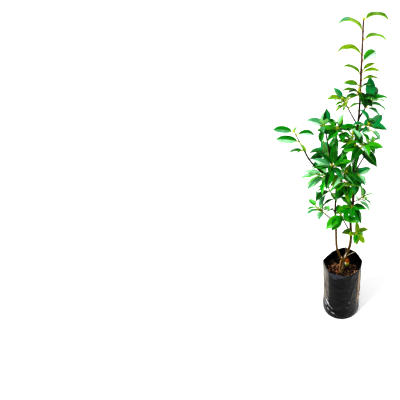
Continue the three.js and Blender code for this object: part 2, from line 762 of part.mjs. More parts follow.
const plant = grow();
place('grow_bag', bagSurface(), FILM);
place('potting_mix', soilSurface(), POTTING_MIX);
place('trunk', trunkSurface(), OLD_BARK);

// Each limb is cut back so that it stays clear of the limb that carries it.
const trunkRoom = solidOf(trunkSurface(GAP));
const stemRoom = {};
for (const name of Object.keys(STEMS)) {
  stemRoom[name] = solidOf(limbSurface(plant.limbs[name], STEM_SIDES, GAP));
}

const rightStem = solidOf(limbSurface(plant.limbs.right_stem, STEM_SIDES)).subtract(trunkRoom);
const leftStem = solidOf(limbSurface(plant.limbs.left_stem, STEM_SIDES)).subtract(trunkRoom);
place('right_stem', geometryOf(rightStem), YOUNG_BARK);
place('left_stem', geometryOf(leftStem.subtract(stemRoom.right_stem)), YOUNG_BARK);

for (const [name, row] of Object.entries(BOUGHS)) {
  const limb = solidOf(limbSurface(plant.limbs[name], BOUGH_SIDES));
  place(name, geometryOf(limb.subtract(stemRoom[row.on])), YOUNG_BARK);
}

for (const [name, row] of Object.entries(MASSES)) {
  let solid = massSolid(plant.shoots[name], plant.leaves[name]);
  if (row.at !== null) solid = solid.subtract(stemRoom[row.on]);
  place(`${name}_leaves`, geometryOf(solid), FOLIAGE[row.tone]);
}

export default shrub;
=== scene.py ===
"""A young camellia shrub in its black polythene grow bag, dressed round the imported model.

The plant is grown again by the same seeded rule as the solids: limbs, then the shoots and leaves of each
mass. Here each leaf is a toothed, veined blade with its petiole and bud, shoots carry finer twigs, the limbs
have bark, the bag is thin creased film and the potting mix is lumpy, with chips and fibres in it.
The rule works in millimetres, and meshes are turned into metres when they are made.
"""

import itertools
import math

import bpy
import numpy as np
from mathutils import Matrix, Vector


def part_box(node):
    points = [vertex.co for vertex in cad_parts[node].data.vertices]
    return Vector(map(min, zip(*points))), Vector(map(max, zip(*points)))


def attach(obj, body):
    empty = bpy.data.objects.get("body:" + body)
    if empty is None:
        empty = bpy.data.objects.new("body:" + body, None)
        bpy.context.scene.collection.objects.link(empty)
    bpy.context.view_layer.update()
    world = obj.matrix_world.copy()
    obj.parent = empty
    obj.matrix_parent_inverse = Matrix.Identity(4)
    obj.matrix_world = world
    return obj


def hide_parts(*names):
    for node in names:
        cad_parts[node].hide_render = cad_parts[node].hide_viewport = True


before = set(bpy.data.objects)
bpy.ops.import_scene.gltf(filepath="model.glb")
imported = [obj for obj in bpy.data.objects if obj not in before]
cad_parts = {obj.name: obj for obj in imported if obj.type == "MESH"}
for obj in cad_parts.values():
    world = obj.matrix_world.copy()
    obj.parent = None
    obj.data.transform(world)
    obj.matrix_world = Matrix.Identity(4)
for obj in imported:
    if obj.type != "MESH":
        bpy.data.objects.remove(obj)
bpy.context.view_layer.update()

MM = 0.001

# ---------------------------------------------------------------- camera

# The object stands at the right of a wide frame, so the camera looks past it and the picture is shifted.
CAMERA_AT = (-0.0356, -0.95, 1.2)
CAMERA_YAW = 6.16
CAMERA_PITCH = 36.57
CAMERA_ROLL = -2.29
FRAME_SIDE = 400
FOCAL_PIXELS = 388.2
SENSOR = 36.0
FRAME_SHIFT = -0.25
CLIP = (0.05, 60)


def make_camera():
    yaw, pitch, roll = (math.radians(a) for a in (CAMERA_YAW, CAMERA_PITCH, CAMERA_ROLL))
    ahead = Vector((-math.sin(yaw) * math.cos(pitch), math.cos(yaw) * math.cos(pitch), -math.sin(pitch)))
    level = Vector((math.cos(yaw), math.sin(yaw), 0))
    above = level.cross(ahead)
    right = level * math.cos(roll) + above * math.sin(roll)
    up = above * math.cos(roll) - level * math.sin(roll)
    data = bpy.data.cameras.new("camera")
    data.sensor_width = SENSOR
    data.lens = SENSOR * FOCAL_PIXELS / FRAME_SIDE
    data.shift_x = FRAME_SHIFT
    data.clip_start, data.clip_end = CLIP
    camera = bpy.data.objects.new("camera", data)
    turn = Matrix((right, up, -ahead)).transposed().to_4x4()
    camera.matrix_world = Matrix.Translation(CAMERA_AT) @ turn
    bpy.context.scene.collection.objects.link(camera)
    bpy.context.scene.camera = camera


make_camera()

# ---------------------------------------------------------------- driving dimensions, as in the solids

BAG_RADIUS = 65
BAG_HEIGHT = 234
BAG_FOOT_RADIUS = 60
FOOT_BULGE = 1.6
FOOT_BULGE_HEIGHT = 22
WAIST = 1.2
BAG_FOLDS = 6
FOLD_DEPTH = 1.3
OVAL = 0.7
RIM_RISE = 3
SOIL_LEVEL = 205
SOIL_PAD = 18
GAP = 0.3

TRUNK_LINE = [(-3, -25, 210), (-2, -22, 222), (0, -15, 236), (1, -9, 252)]
TRUNK_RADII = [10, 7.2, 6.3, 6.2]
FLARE_LOBES = 3
FLARE = 0.14

STEMS = {
    "right_stem": {
        "knots": [
            (2, -8, 246), (22, 0, 310), (22, 6, 375), (18, 8, 425), (24, 8, 490), (20, 8, 590),
            (18, 8, 665), (25, 8, 760), (25, 6, 815)],
        "base": 4.1,
        "tip": 2.2,
    },
    "left_stem": {
        "knots": [
            (0, -10, 246), (-20, -16, 305), (-26, -20, 400), (-30, -22, 480), (-29, -24, 555),
            (-38, -26, 610), (-52, -26, 685), (-61, -26, 738)],
        "base": 3.5,
        "tip": 1.6,
    },
}


def bough(on, at, azimuth, rise, length, bend=0, base=1.3):
    """A limb leaves its stem at a height and a heading, and bends upwards over its length."""
    return dict(on=on, at=at, azimuth=azimuth, rise=rise, length=length, bend=bend, base=base)


GOLDEN_TURN = 137.5
# What a mass of leaves has unless its row says otherwise. Angles are in degrees, `open` from the shoot and
# `turn` from leaf to leaf. `lead` gives the outermost leaves: share of the shoot, azimuth, rise, length, arch
# and roll of each.
USUAL_SPRAY = dict(
    at=None, azimuth=0, rise=0, bend=0, twigs=0, width=0.48, open=55, arch=32, turn=GOLDEN_TURN, crowd=1.35,
    shrink=0.18, first=None, tip=0.8, lead=())


def spray(on, length, leaves, size, seed, **own):
    return {**USUAL_SPRAY, "on": on, "length": length, "leaves": leaves, "size": size, "seed": seed, **own}


BOUGHS = {
    "upper_right_bough": bough("right_stem", 757, 7, 62, 33, base=1.5),
    "upper_left_bough": bough("right_stem", 738, 165, 56, 50, bend=4),
    "mid_right_bough": bough("right_stem", 714, -50, 38, 34, bend=10),
    "mid_left_bough": bough("right_stem", 681, 215, 50, 60, bend=-4),
    "front_right_bough": bough("right_stem", 650, -73, 34, 62, bend=16, base=1.4),
    "right_bough": bough("right_stem", 582, 37, 56, 68, bend=-6, base=1.4),
    "back_left_bough": bough("right_stem", 578, 170, 41, 74, bend=-2),
    "front_bough": bough("right_stem", 528, 238, 42, 50, bend=8),
    "low_bough": bough("right_stem", 363, 228, 58, 90, bend=8, base=1.5),
    "far_left_bough": bough("left_stem", 592, 186, 23, 124, bend=48, base=1.9),
    "low_left_bough": bough("left_stem", 412, 192, 62, 60, bend=-14, base=1.5),
    "back_bough": bough("right_stem", 610, 95, 50, 55),
    "back_low_bough": bough("right_stem", 470, 93, 50, 57, bend=6),
    "left_spur": bough("left_stem", 462, 190, 60, 24),
    "dead_twig": bough("right_stem", 262, 275, 78, 88, bend=14, base=0.9),
    "dead_twig_short": bough("right_stem", 262, 20, 22, 38, base=0.9),
}

MASSES = {
    "leader": spray(
        "right_stem", 182, 0, 46, 214, azimuth=112, rise=87.8, width=0.42, turn=176, shrink=0, first=166,
        tip=1.4, lead=(
            (1.0, 10, 31, 62, 84, 4), (0.87, 184, 56, 68, 98, -6), (0.76, 4, 32, 58, 82, 4),
            (0.58, 184, 45, 62, 90, -6), (0.49, 42, 24, 58, 40, 40), (0.37, 22, 30, 36, 24, 10),
            (0.35, 350, 22, 44, 44, 8), (0.32, 180, 48, 48, 60, -6), (0.24, 0, 28, 40, 56, 4),
            (0.17, 190, 24, 40, 40, -28), (0.06, 184, 30, 42, 46, -4))),
    "leader_foot": spray(
        "right_stem", 44, 4, 38, 227, at=800, azimuth=250, rise=70, open=60, arch=40, lead=(
            (1.0, 310, -38, 42, 60, 0), (0.9, 196, 2, 40, 40, -24), (0.7, 190, 14, 44, 40, -10),
            (0.5, 340, -20, 38, 40, 20))),
    "upper_right": spray(
        "upper_right_bough", 22, 5, 50, 99, open=60, arch=48, lead=(
            (1.0, 95, 72, 56, 14, -30), (0.9, 4, 30, 46, 60, 14), (0.8, 300, 20, 52, 50, 0),
            (0.6, 330, -10, 50, 40, 20))),
    "upper_left": spray(
        "upper_left_bough", 30, 6, 32, 215, twigs=1, width=0.44, open=75, arch=35, lead=(
            (1.0, 186, 18, 40, 50, -20), (0.9, 160, 50, 36, 30, -40), (0.8, 10, 46, 28, 30, 10),
            (0.5, 195, -24, 28, 30, -20))),
    "mid_right": spray(
        "mid_right_bough", 26, 6, 44, 302, twigs=1, width=0.52, open=70, arch=40, lead=(
            (1.0, 95, 70, 54, 16, -30), (0.8, 345, 4, 46, 40, 20))),
    "mid_left": spray(
        "mid_left_bough", 26, 6, 42, 378, open=65, arch=40, lead=(
            (0.9, 203, 8, 52, 24, -58), (0.8, 350, 22, 42, 40, 30), (1.0, 60, 60, 36, 30, 0))),
    "front_right": spray("front_right_bough", 30, 9, 56, 320, twigs=1, width=0.5, open=65, arch=30),
    "right": spray("right_bough", 42, 10, 34, 84, bend=6, twigs=1, width=0.45, open=70, arch=40),
    "back_left": spray("back_left_bough", 22, 9, 62, 366, open=40, arch=30),
    "front": spray("front_bough", 28, 7, 52, 179, width=0.5, open=60, arch=30),
    "right_centre": spray("right_stem", 38, 4, 54, 301, at=575, azimuth=-68, rise=40, open=75, arch=35),
    "lower_right": spray(
        "right_stem", 40, 6, 46, 100, at=482, azimuth=32, rise=2, bend=20, width=0.46, open=70,
        arch=30),
    "lower_front": spray(
        "right_stem", 48, 7, 50, 179, at=475, azimuth=264, rise=18, bend=20, width=0.5, open=50,
        arch=30),
    "low": spray(
        "low_bough", 32, 8, 50, 341, width=0.52, open=72, lead=(
            (0.8, 222, -22, 58, 34, -30), (0.7, 345, 6, 58, 40, 44), (0.9, 20, 26, 56, 40, 30),
            (1.0, 120, 56, 52, 26, 20))),
    "low_right": spray(
        "right_stem", 36, 8, 40, 267, at=362, azimuth=-59, rise=28, bend=10, width=0.5, open=70,
        arch=45),
    "far_left": spray(
        "far_left_bough", 64, 2, 30, 46, width=0.42, open=60, arch=40, lead=(
            (1.0, 184, 18, 58, 62, -44), (0.5, 186, 18, 64, 56, -44), (0.84, 0, 22, 52, 84, 30),
            (0.06, 184, 6, 36, 40, -20), (0.46, 312, -24, 25, 30, 0))),
    "left_top": spray(
        "left_stem", 14, 4, 42, 235, azimuth=160, rise=78, width=0.58, open=45, arch=37, lead=(
            (0.8, 60, 74, 42, 14, 80), (0.9, 180, 30, 44, 30, -20), (0.5, 230, -50, 34, 40, 0))),
    "left_centre": spray(
        "left_stem", 32, 8, 54, 203, at=618, azimuth=262, rise=55, width=0.44, open=60, arch=30, lead=(
            (1.0, 110, 76, 56, 14, -20), (0.9, 70, 66, 58, 16, 20), (0.7, 0, 24, 54, 30, 30),
            (0.8, 190, 30, 54, 40, -40))),
    "left_fan": spray(
        "left_stem", 52, 9, 56, 10, at=585, azimuth=190, rise=22, bend=8, width=0.42, arch=30),
    "left_inner": spray(
        "left_stem", 40, 4, 60, 297, at=598, azimuth=-20, rise=30, bend=10, width=0.5, open=70,
        arch=20),
    "low_left": spray("low_left_bough", 38, 11, 46, 144, twigs=1, width=0.44, open=60, arch=35),
    "back": spray("back_bough", 38, 8, 54, 7, open=70, arch=40),
    "back_low": spray("back_low_bough", 34, 10, 58, 186, open=70, arch=40),
    "back_left_stem": spray(
        "left_stem", 60, 6, 52, 281, at=510, azimuth=128, rise=30, bend=10, width=0.46, open=80,
        arch=40),
}

STEM_STEP = 30
BOUGH_STEPS = 5
BOUGH_TAPER = 0.8
SHOOT_BASE = 1.3
SHOOT_STEPS = 4
TWIG_BASE = 0.95
TWIG_TIP = 0.8
TWIG_BEND = 8
TWIG_STEPS = 3
TWIG_LEAVES = 3
BARE_BESIDE_STEM = 0.45
BARE_AT_TIP = 0.06
BARE_ON_TWIG = 0.4
LAST_LEAF = 0.985
LEAD_PETIOLE = 7
LEAD_FOLD = 24
# Where a blade is widest, as a share of its length.
WIDEST = 0.4
# What is added to a mass's seed for its finer twigs and for its looks, and the seeds of the other pieces.
FINE_SEED = 5000
LOOKS_SEED = 9000
CREASES_SEED, CREST_STREAKS_SEED, HOLES_SEED, MIX_SEED, FALLEN_SEED = 77, 58, 31, 412, 9
NEARLY_UPRIGHT = 0.98
NEARLY_ALONG = 0.96

# Room kept between a leaf and another mass's leaves, leaves of its own mass, and limbs.
LEAF_ROOM = 6
OWN_ROOM = 3.5
OUTER_SAMPLES = 15
LIMB_ROOM = 2.6
TRIES = 6
TRY_TURN = 31

# ---------------------------------------------------------------- the rule of growth, as in the solids

UP = np.array((0.0, 0.0, 1.0))


def unit(vector):
    return vector / math.sqrt(vector @ vector)


def heading(azimuth, rise):
    turn, lift = math.radians(azimuth), math.radians(rise)
    return np.array((math.cos(lift) * math.cos(turn), math.cos(lift) * math.sin(turn), math.sin(lift)))


def turned(vector, axis, degrees):
    angle = math.radians(degrees)
    across = np.cross(axis, vector) * math.sin(angle)
    return vector * math.cos(angle) + across + axis * ((axis @ vector) * (1 - math.cos(angle)))


def side_of(along):
    """A level direction square to a shoot that runs along the given way."""
    if abs(along[2]) >= NEARLY_UPRIGHT:
        return np.array((1.0, 0.0, 0.0))
    return unit(np.cross(along, UP))


class Draws:
    """Repeatable numbers (Park and Miller)."""

    def __init__(self, seed):
        self.state = (seed * 7919 + 104729) % 2147483647
        for _ in range(3):
            self.draw()

    def draw(self):
        self.state = self.state * 16807 % 2147483647
        return self.state / 2147483647

    def between(self, low, high):
        return low + (high - low) * self.draw()


def on_knots(knots, z):
    """The point at height z on the smooth line through knots that rise in z."""
    i = 0
    while i < len(knots) - 2 and z > knots[i + 1][2]:
        i += 1
    low, high = knots[i], knots[i + 1]
    step = high[2] - low[2]
    t = (z - low[2]) / step

    def slope(j, c):
        before, after = knots[max(j - 1, 0)], knots[min(j + 1, len(knots) - 1)]
        return (after[c] - before[c]) / (after[2] - before[2])

    def smooth(c):
        start = (2 * t**3 - 3 * t * t + 1) * low[c] + (t**3 - 2 * t * t + t) * step * slope(i, c)
        return start + (3 * t * t - 2 * t**3) * high[c] + (t**3 - t * t) * step * slope(i + 1, c)

    return np.array((smooth(0), smooth(1), z))


class Limb:
    """A tapering limb along a line of points; a mark is a length along it."""

    def __init__(self, points, base, tip, bare=0.0):
        self.points = [np.asarray(p, float) for p in points]
        self.base, self.tip, self.bare = base, tip, bare
        self.marks = [0.0]
        for a, b in zip(self.points, self.points[1:]):
            self.marks.append(self.marks[-1] + math.sqrt((b - a) @ (b - a)))
        self.length = self.marks[-1]

    def at(self, mark):
        i = 0
        while i < len(self.points) - 2 and mark > self.marks[i + 1]:
            i += 1
        a, b = self.points[i], self.points[i + 1]
        return a + (b - a) * ((mark - self.marks[i]) / (self.marks[i + 1] - self.marks[i])), unit(b - a)

    def mark_at_height(self, z):
        i = 0
        while self.points[i + 1][2] < z:
            i += 1
        a, b = self.points[i][2], self.points[i + 1][2]
        return self.marks[i] + (z - a) / (b - a) * (self.marks[i + 1] - self.marks[i])


def curved(start, azimuth, rise, bend, length, steps):
    """Points of a limb that starts at one heading and bends upwards by `bend` degrees along its length."""
    points = [start]
    for k in range(steps):
        points.append(points[-1] + heading(azimuth, rise + bend * (k + 0.5) / steps) * (length / steps))
    return points


def stem_limb(row):
    knots = row["knots"]
    low, high = knots[0][2], knots[-1][2]
    steps = round((high - low) / STEM_STEP)
    points = [on_knots(knots, low + (high - low) * k / steps) for k in range(steps + 1)]
    return Limb(points, row["base"], row["tip"])


def limbs_of_plant():
    limbs = {name: stem_limb(row) for name, row in STEMS.items()}
    for name, row in BOUGHS.items():
        stem = limbs[row["on"]]
        start, _ = stem.at(stem.mark_at_height(row["at"]))
        points = curved(start, row["azimuth"], row["rise"], row["bend"], row["length"], BOUGH_STEPS)
        limbs[name] = Limb(points, row["base"], row["base"] * BOUGH_TAPER)
    return limbs


def heading_angles(way):
    return math.degrees(math.atan2(way[1], way[0])), math.degrees(math.asin(way[2]))


def stem_of_mass(row, limbs):
    """The stem of a mass carries on from its bough's tip, or leaves the side of the stem named in the row."""
    parent = limbs[row["on"]]
    azimuth, rise = row["azimuth"], row["rise"]
    if row["at"] is not None:
        start, _ = parent.at(parent.mark_at_height(row["at"]))
        base, bare = SHOOT_BASE, BARE_BESIDE_STEM
    else:
        tip, along = parent.at(parent.length)
        start = tip + along * GAP
        base, bare = parent.tip, BARE_AT_TIP
        if rise == 0:
            azimuth, rise = heading_angles(along)
    points = curved(start, azimuth, rise, row["bend"], row["length"], SHOOT_STEPS)
    return Limb(points, base, row["tip"], bare)


def shoots_of_mass(row, limbs, others, draws):
    """The stem of a mass and the twigs that branch from it."""
    stem = stem_of_mass(row, limbs)
    shoots = [stem]
    for _ in range(row["twigs"]):
        start, along = stem.at(stem.length * draws.between(0.3, 0.4))
        out = turned(side_of(along), along, draws.between(0, 360))
        lean = math.radians(draws.between(48, 62))
        azimuth, rise = heading_angles(along * math.cos(lean) + out * math.sin(lean))
        length = stem.length * draws.between(0.5, 0.7)
        line = curved(start, azimuth, rise, TWIG_BEND, length, TWIG_STEPS)
        if not touches_any(np.array(line[1:]), others):
            shoots.append(Limb(line, TWIG_BASE, TWIG_TIP, BARE_ON_TWIG))
    return shoots


class Leaf:
    """A petiole from its root, then a blade that arches away from its face and folds up along the rib."""

    def __init__(self, root, way, face, length, width, petiole, arch, fold, roll):
        self.root, self.way = root, unit(way)
        self.face = turned(unit(face - self.way * (face @ self.way)), self.way, roll)
        self.side = np.cross(self.way, self.face)
        self.length, self.width, self.petiole = length, width, petiole
        self.arch, self.fold = arch, fold
        self.number = None

    def rib(self, share):
        turn = math.radians(self.arch) * share
        bow = self.length / math.radians(self.arch)
        ahead = self.way * (self.petiole + bow * math.sin(turn))
        point = self.root + ahead - self.face * (bow * (1 - math.cos(turn)))
        return point, self.face * math.cos(turn) + self.way * math.sin(turn)

    def on_blade(self, share, across):
        point, up = self.rib(share)
        half, fold = self.width / 2 * outline(share), math.radians(self.fold)
        aside = self.side * (across * half * math.cos(fold))
        return point + aside + up * (abs(across) * half * math.sin(fold))

    def samples(self):
        """Points that stand for the leaf when it is tested against its neighbours."""
        points = [self.root + self.way * (self.petiole * 0.75), self.rib(1.0)[0]]
        for share in (0.08, 0.24, 0.4, 0.56, 0.72, 0.88):
            points += [self.on_blade(share, across) for across in (-0.9, -0.45, 0, 0.45, 0.9)]
        return np.array(points)


def face_of(along, way):
    """Where a leaf's upper side looks before it is made square to the leaf."""
    face = along * 0.55 + UP * 0.85
    if abs(unit(face) @ unit(way)) > NEARLY_ALONG:
        return along - way * 0.5 + UP * 0.1
    return face


def outline(share, base=0.7, tip=1.05):
    """Half the width of a blade at a share of its length, as a part of its widest."""
    return share**base * (1 - share) ** tip / (WIDEST**base * (1 - WIDEST) ** tip)


def touches_limb(points, limb):
    a, b = np.array(limb.points[:-1]), np.array(limb.points[1:])
    room = limb.base + LIMB_ROOM
    low, high = np.minimum(a, b).min(0) - room, np.maximum(a, b).max(0) + room
    near = points[((points > low) & (points < high)).all(1)]
    if len(near) == 0:
        return False
    run = b - a
    share = np.clip(((near[:, None] - a) * run).sum(2) / (run * run).sum(1), 0, 1)
    gap = np.sqrt(((near[:, None] - (a + run * share[:, :, None])) ** 2).sum(2))
    return bool((gap < room).any())


def touches_any(points, limbs):
    return any(touches_limb(points, limb) for limb in limbs)


def touches(points, others, room):
    if len(others) == 0:
        return False
    low, high = points.min(0) - room, points.max(0) + room
    near = others[((others > low) & (others < high)).all(1)]
    if len(near) == 0:
        return False
    return bool((((points[:, None] - near) ** 2).sum(2) < room * room).any())


def leaves_of_mass(row, shoots, draws, parent, others, placed):
    """The leaves of one mass, round each shoot in turn. A leaf that would touch something is turned round
    its shoot, and left out when no turn clears it."""
    first = draws.between(0, 360) if row["first"] is None else row["first"]
    leaves, own = [], [np.zeros((0, 3))]

    def settle(leaf, shoot, mark, along, room):
        """Keep the leaf if it touches nothing and has room beside the mass's own leaves."""
        points = leaf.samples()
        outer = points[OUTER_SAMPLES:]
        if touches_any(points, others) or touches_limb(points[1:], parent):
            return False
        if touches(points, placed, LEAF_ROOM) or touches(outer, np.concatenate(own), room):
            return False
        leaf.shoot, leaf.mark, leaf.along = shoot, mark, along
        leaves.append(leaf)
        own.append(outer)
        return True

    stem = shoots[0]
    for number, (share, azimuth, rise, length, arch, roll) in enumerate(row["lead"]):
        mark = stem.length * share
        root, along = stem.at(mark)
        way = heading(azimuth, rise)
        width = length * row["width"]
        leaf = Leaf(root, way, face_of(along, way), length, width, LEAD_PETIOLE, arch, LEAD_FOLD, roll)
        leaf.number = number
        settle(leaf, stem, mark, along, 0)
    for shoot in shoots:
        count = row["leaves"] - TWIG_LEAVES * (len(shoots) - 1) if shoot is stem else TWIG_LEAVES
        for k in range(count):
            share = k / (count - 1) if count > 1 else 1.0
            crowded = 1 - (1 - share) ** row["crowd"]
            mark = shoot.length * (shoot.bare + (1 - shoot.bare) * crowded * LAST_LEAF)
            root, along = shoot.at(mark)
            azimuth = first + k * row["turn"] + draws.between(-15, 15)
            opening = math.radians(row["open"] * (1.15 - 0.5 * share) + draws.between(-8, 8))
            length = row["size"] * draws.between(0.82, 1.18) * (1 - row["shrink"] * share)
            width = length * row["width"] * draws.between(0.92, 1.08)
            petiole = draws.between(5, 9)
            arch = row["arch"] * draws.between(0.7, 1.3)
            fold = draws.between(14, 28)
            roll = draws.between(-18, 18)
            for attempt in range(TRIES):
                out = turned(side_of(along), along, azimuth + attempt * TRY_TURN)
                way = along * math.cos(opening) + out * math.sin(opening)
                leaf = Leaf(root, way, face_of(along, way), length, width, petiole, arch, fold, roll)
                if settle(leaf, shoot, mark, along, OWN_ROOM):
                    break
    return leaves


def other_limbs(name, limbs, shoots):
    """What a mass keeps clear of: every limb but its parent, and the shoots of the other masses."""
    others = [limb for other, limb in limbs.items() if other != MASSES[name]["on"]]
    return others + [shoot for other, grown in shoots.items() if other != name for shoot in grown]


def grow():
    """The whole plant: its limbs, and the shoots and leaves of each mass."""
    limbs = limbs_of_plant()
    shoots, draws, leaves = {}, {}, {}
    for name, row in MASSES.items():
        draws[name] = Draws(row["seed"])
        shoots[name] = shoots_of_mass(row, limbs, other_limbs(name, limbs, shoots), draws[name])
    placed = np.zeros((0, 3))
    for name, row in MASSES.items():
        others = other_limbs(name, limbs, shoots)
        leaves[name] = leaves_of_mass(row, shoots[name], draws[name], limbs[row["on"]], others, placed)
        placed = np.concatenate([placed] + [leaf.samples() for leaf in leaves[name]])
    return limbs, shoots, leaves, placed


# ---------------------------------------------------------------- making meshes

def noise(points, size, seed=0):
    """Smooth random numbers from -1 to 1 over space; `size` is the width of one lump."""
    scaled = np.asarray(points, float) / size + seed * 17.31
    cell = np.floor(scaled).astype(np.int64)
    part = scaled - cell
    part = part * part * (3 - 2 * part)
    total = np.zeros(len(scaled))
    for corner in range(8):
        step = np.array([corner & 1, corner >> 1 & 1, corner >> 2])
        place = cell + step
        mixed = place[:, 0] * 73856093 ^ place[:, 1] * 19349663 ^ place[:, 2] * 83492791
        mixed = (mixed ^ (mixed >> 13)) * 1274126177 & 0x7FFFFFFF
        weight = np.where(step, part, 1 - part).prod(axis=1)
        total += weight * (mixed / 0x7FFFFFFF)
    return 2 * total - 1


class Sheaf:
    """Many small surfaces gathered into one mesh. Faces have four corners, and one with three repeats its
    last."""

    def __init__(self):
        self.points, self.faces, self.paints, self.flat = [], [], [], []
        self.count = 0

    def add(self, points, faces, paint=0, flat=False):
        points = np.asarray(points, float).reshape(-1, 3)
        faces = np.asarray(faces, np.int64)
        self.points.append(points)
        self.faces.append(faces + self.count)
        self.paints.append(np.broadcast_to(np.asarray(paint), len(faces)))
        self.flat.append(np.broadcast_to(np.asarray(flat), len(faces)))
        self.count += len(points)

    def make(self, name, materials):
        """One object of all that was gathered, in metres."""
        points = np.concatenate(self.points) * MM
        faces = np.concatenate(self.faces)
        three = faces[:, 2] == faces[:, 3]
        corners = np.where(three, 3, 4)
        keep = np.ones(faces.shape, bool)
        keep[three, 3] = False
        mesh = bpy.data.meshes.new(name)
        mesh.vertices.add(len(points))
        mesh.vertices.foreach_set("co", points.ravel())
        mesh.loops.add(int(corners.sum()))
        mesh.loops.foreach_set("vertex_index", faces[keep])
        mesh.polygons.add(len(faces))
        mesh.polygons.foreach_set("loop_start", np.concatenate([[0], np.cumsum(corners)[:-1]]))
        mesh.polygons.foreach_set("material_index", np.concatenate(self.paints).astype(np.int64))
        mesh.update(calc_edges=True)
        mesh.polygons.foreach_set("use_smooth", ~np.concatenate(self.flat))
        for material in materials:
            mesh.materials.append(material)
        mesh.validate()
        piece = bpy.data.objects.new(name, mesh)
        bpy.context.scene.collection.objects.link(piece)
        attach(piece, "root")
        return piece


def grid_faces(rows, columns, closed=False):
    """Faces of a grid stored row by row. A closed grid joins its last column to its first."""
    i, j = np.meshgrid(np.arange(rows - 1), np.arange(columns if closed else columns - 1), indexing="ij")
    i, j = i.ravel() * columns, j.ravel()
    k = (j + 1) % columns
    return np.stack([i + j, i + k, i + columns + k, i + columns + j], 1)


def fan_faces(centre, ring, outwards=True):
    """Three-cornered faces from a centre point to a closed ring of points."""
    after = np.roll(ring, -1)
    if not outwards:
        ring, after = after, ring
    return np.stack([np.full(len(ring), centre), ring, after, after], 1)


def capped_faces(rows, columns):
    """Faces of a pile of rings closed at either end by a point. The two points are stored last."""
    ring = np.arange(columns)
    return np.concatenate([
        grid_faces(rows, columns, closed=True),
        fan_faces(rows * columns, ring, outwards=False),
        fan_faces(rows * columns + 1, (rows - 1) * columns + ring)])


def turns(count):
    """Angles spread evenly round a circle."""
    return np.arange(count) * 2 * math.pi / count


def on_round(angle, radius, z):
    """Points at an angle and a distance from an upright axis."""
    return np.stack(np.broadcast_arrays(np.cos(angle) * radius, np.sin(angle) * radius, z), -1)


def frames_along(points):
    """A side and a second side square to a line of points, kept from twisting as it bends."""
    points = np.asarray(points, float)
    along = np.gradient(points, axis=0)
    along /= np.linalg.norm(along, axis=1)[:, None]
    side = side_of(along[0])
    sides = []
    for way in along:
        side = unit(side - way * (side @ way))
        sides.append(side)
    sides = np.array(sides)
    return sides, np.cross(along, sides), along


def tube(sheaf, line, radii, sides=8, paint=0, relief=None, tip=0.6):
    """A closed round surface along a line. `relief` gives what is added to the radius at each point."""
    line, radii = np.asarray(line, float), np.asarray(radii, float)
    first, second, along = frames_along(line)
    turn = turns(sides)
    out = first[:, None] * np.cos(turn)[None, :, None] + second[:, None] * np.sin(turn)[None, :, None]
    spread = np.repeat(radii[:, None], sides, 1)
    if relief is not None:
        spread = spread + relief(line, turn, radii)
    ring = line[:, None] + out * spread[:, :, None]
    points = np.concatenate([
        ring.reshape(-1, 3),
        [line[0] - along[0] * radii[0] * 0.3],
        [line[-1] + along[-1] * radii[-1] * tip]])
    sheaf.add(points, capped_faces(len(line), sides), paint)


def smooth_line(points, step):
    """A limb's corners rounded off, with a point every `step` millimetres."""
    points = np.asarray(points, float)
    ends = np.concatenate([[2 * points[0] - points[1]], points, [2 * points[-1] - points[-2]]])
    line = []
    for i in range(len(points) - 1):
        a, b, c, d = ends[i:i + 4]
        count = max(2, round(np.linalg.norm(c - b) / step))
        for t in np.arange(count) / count:
            line.append(0.5 * (2 * b + (c - a) * t + (2 * a - 5 * b + 4 * c - d) * t * t
                               + (3 * b - a - 3 * c + d) * t**3))
    line.append(points[-1])
    return np.array(line)


def marks_of(line):
    return np.concatenate([[0], np.cumsum(np.linalg.norm(np.diff(line, axis=0), axis=1))])


# ---------------------------------------------------------------- materials

def linear(code):
    """A colour given as '#rrggbb', in the linear numbers that shaders take."""
    parts = [int(code[k:k + 2], 16) / 255 for k in (1, 3, 5)]
    return tuple(c / 12.92 if c <= 0.04045 else ((c + 0.055) / 1.055) ** 2.4 for c in parts) + (1.0,)


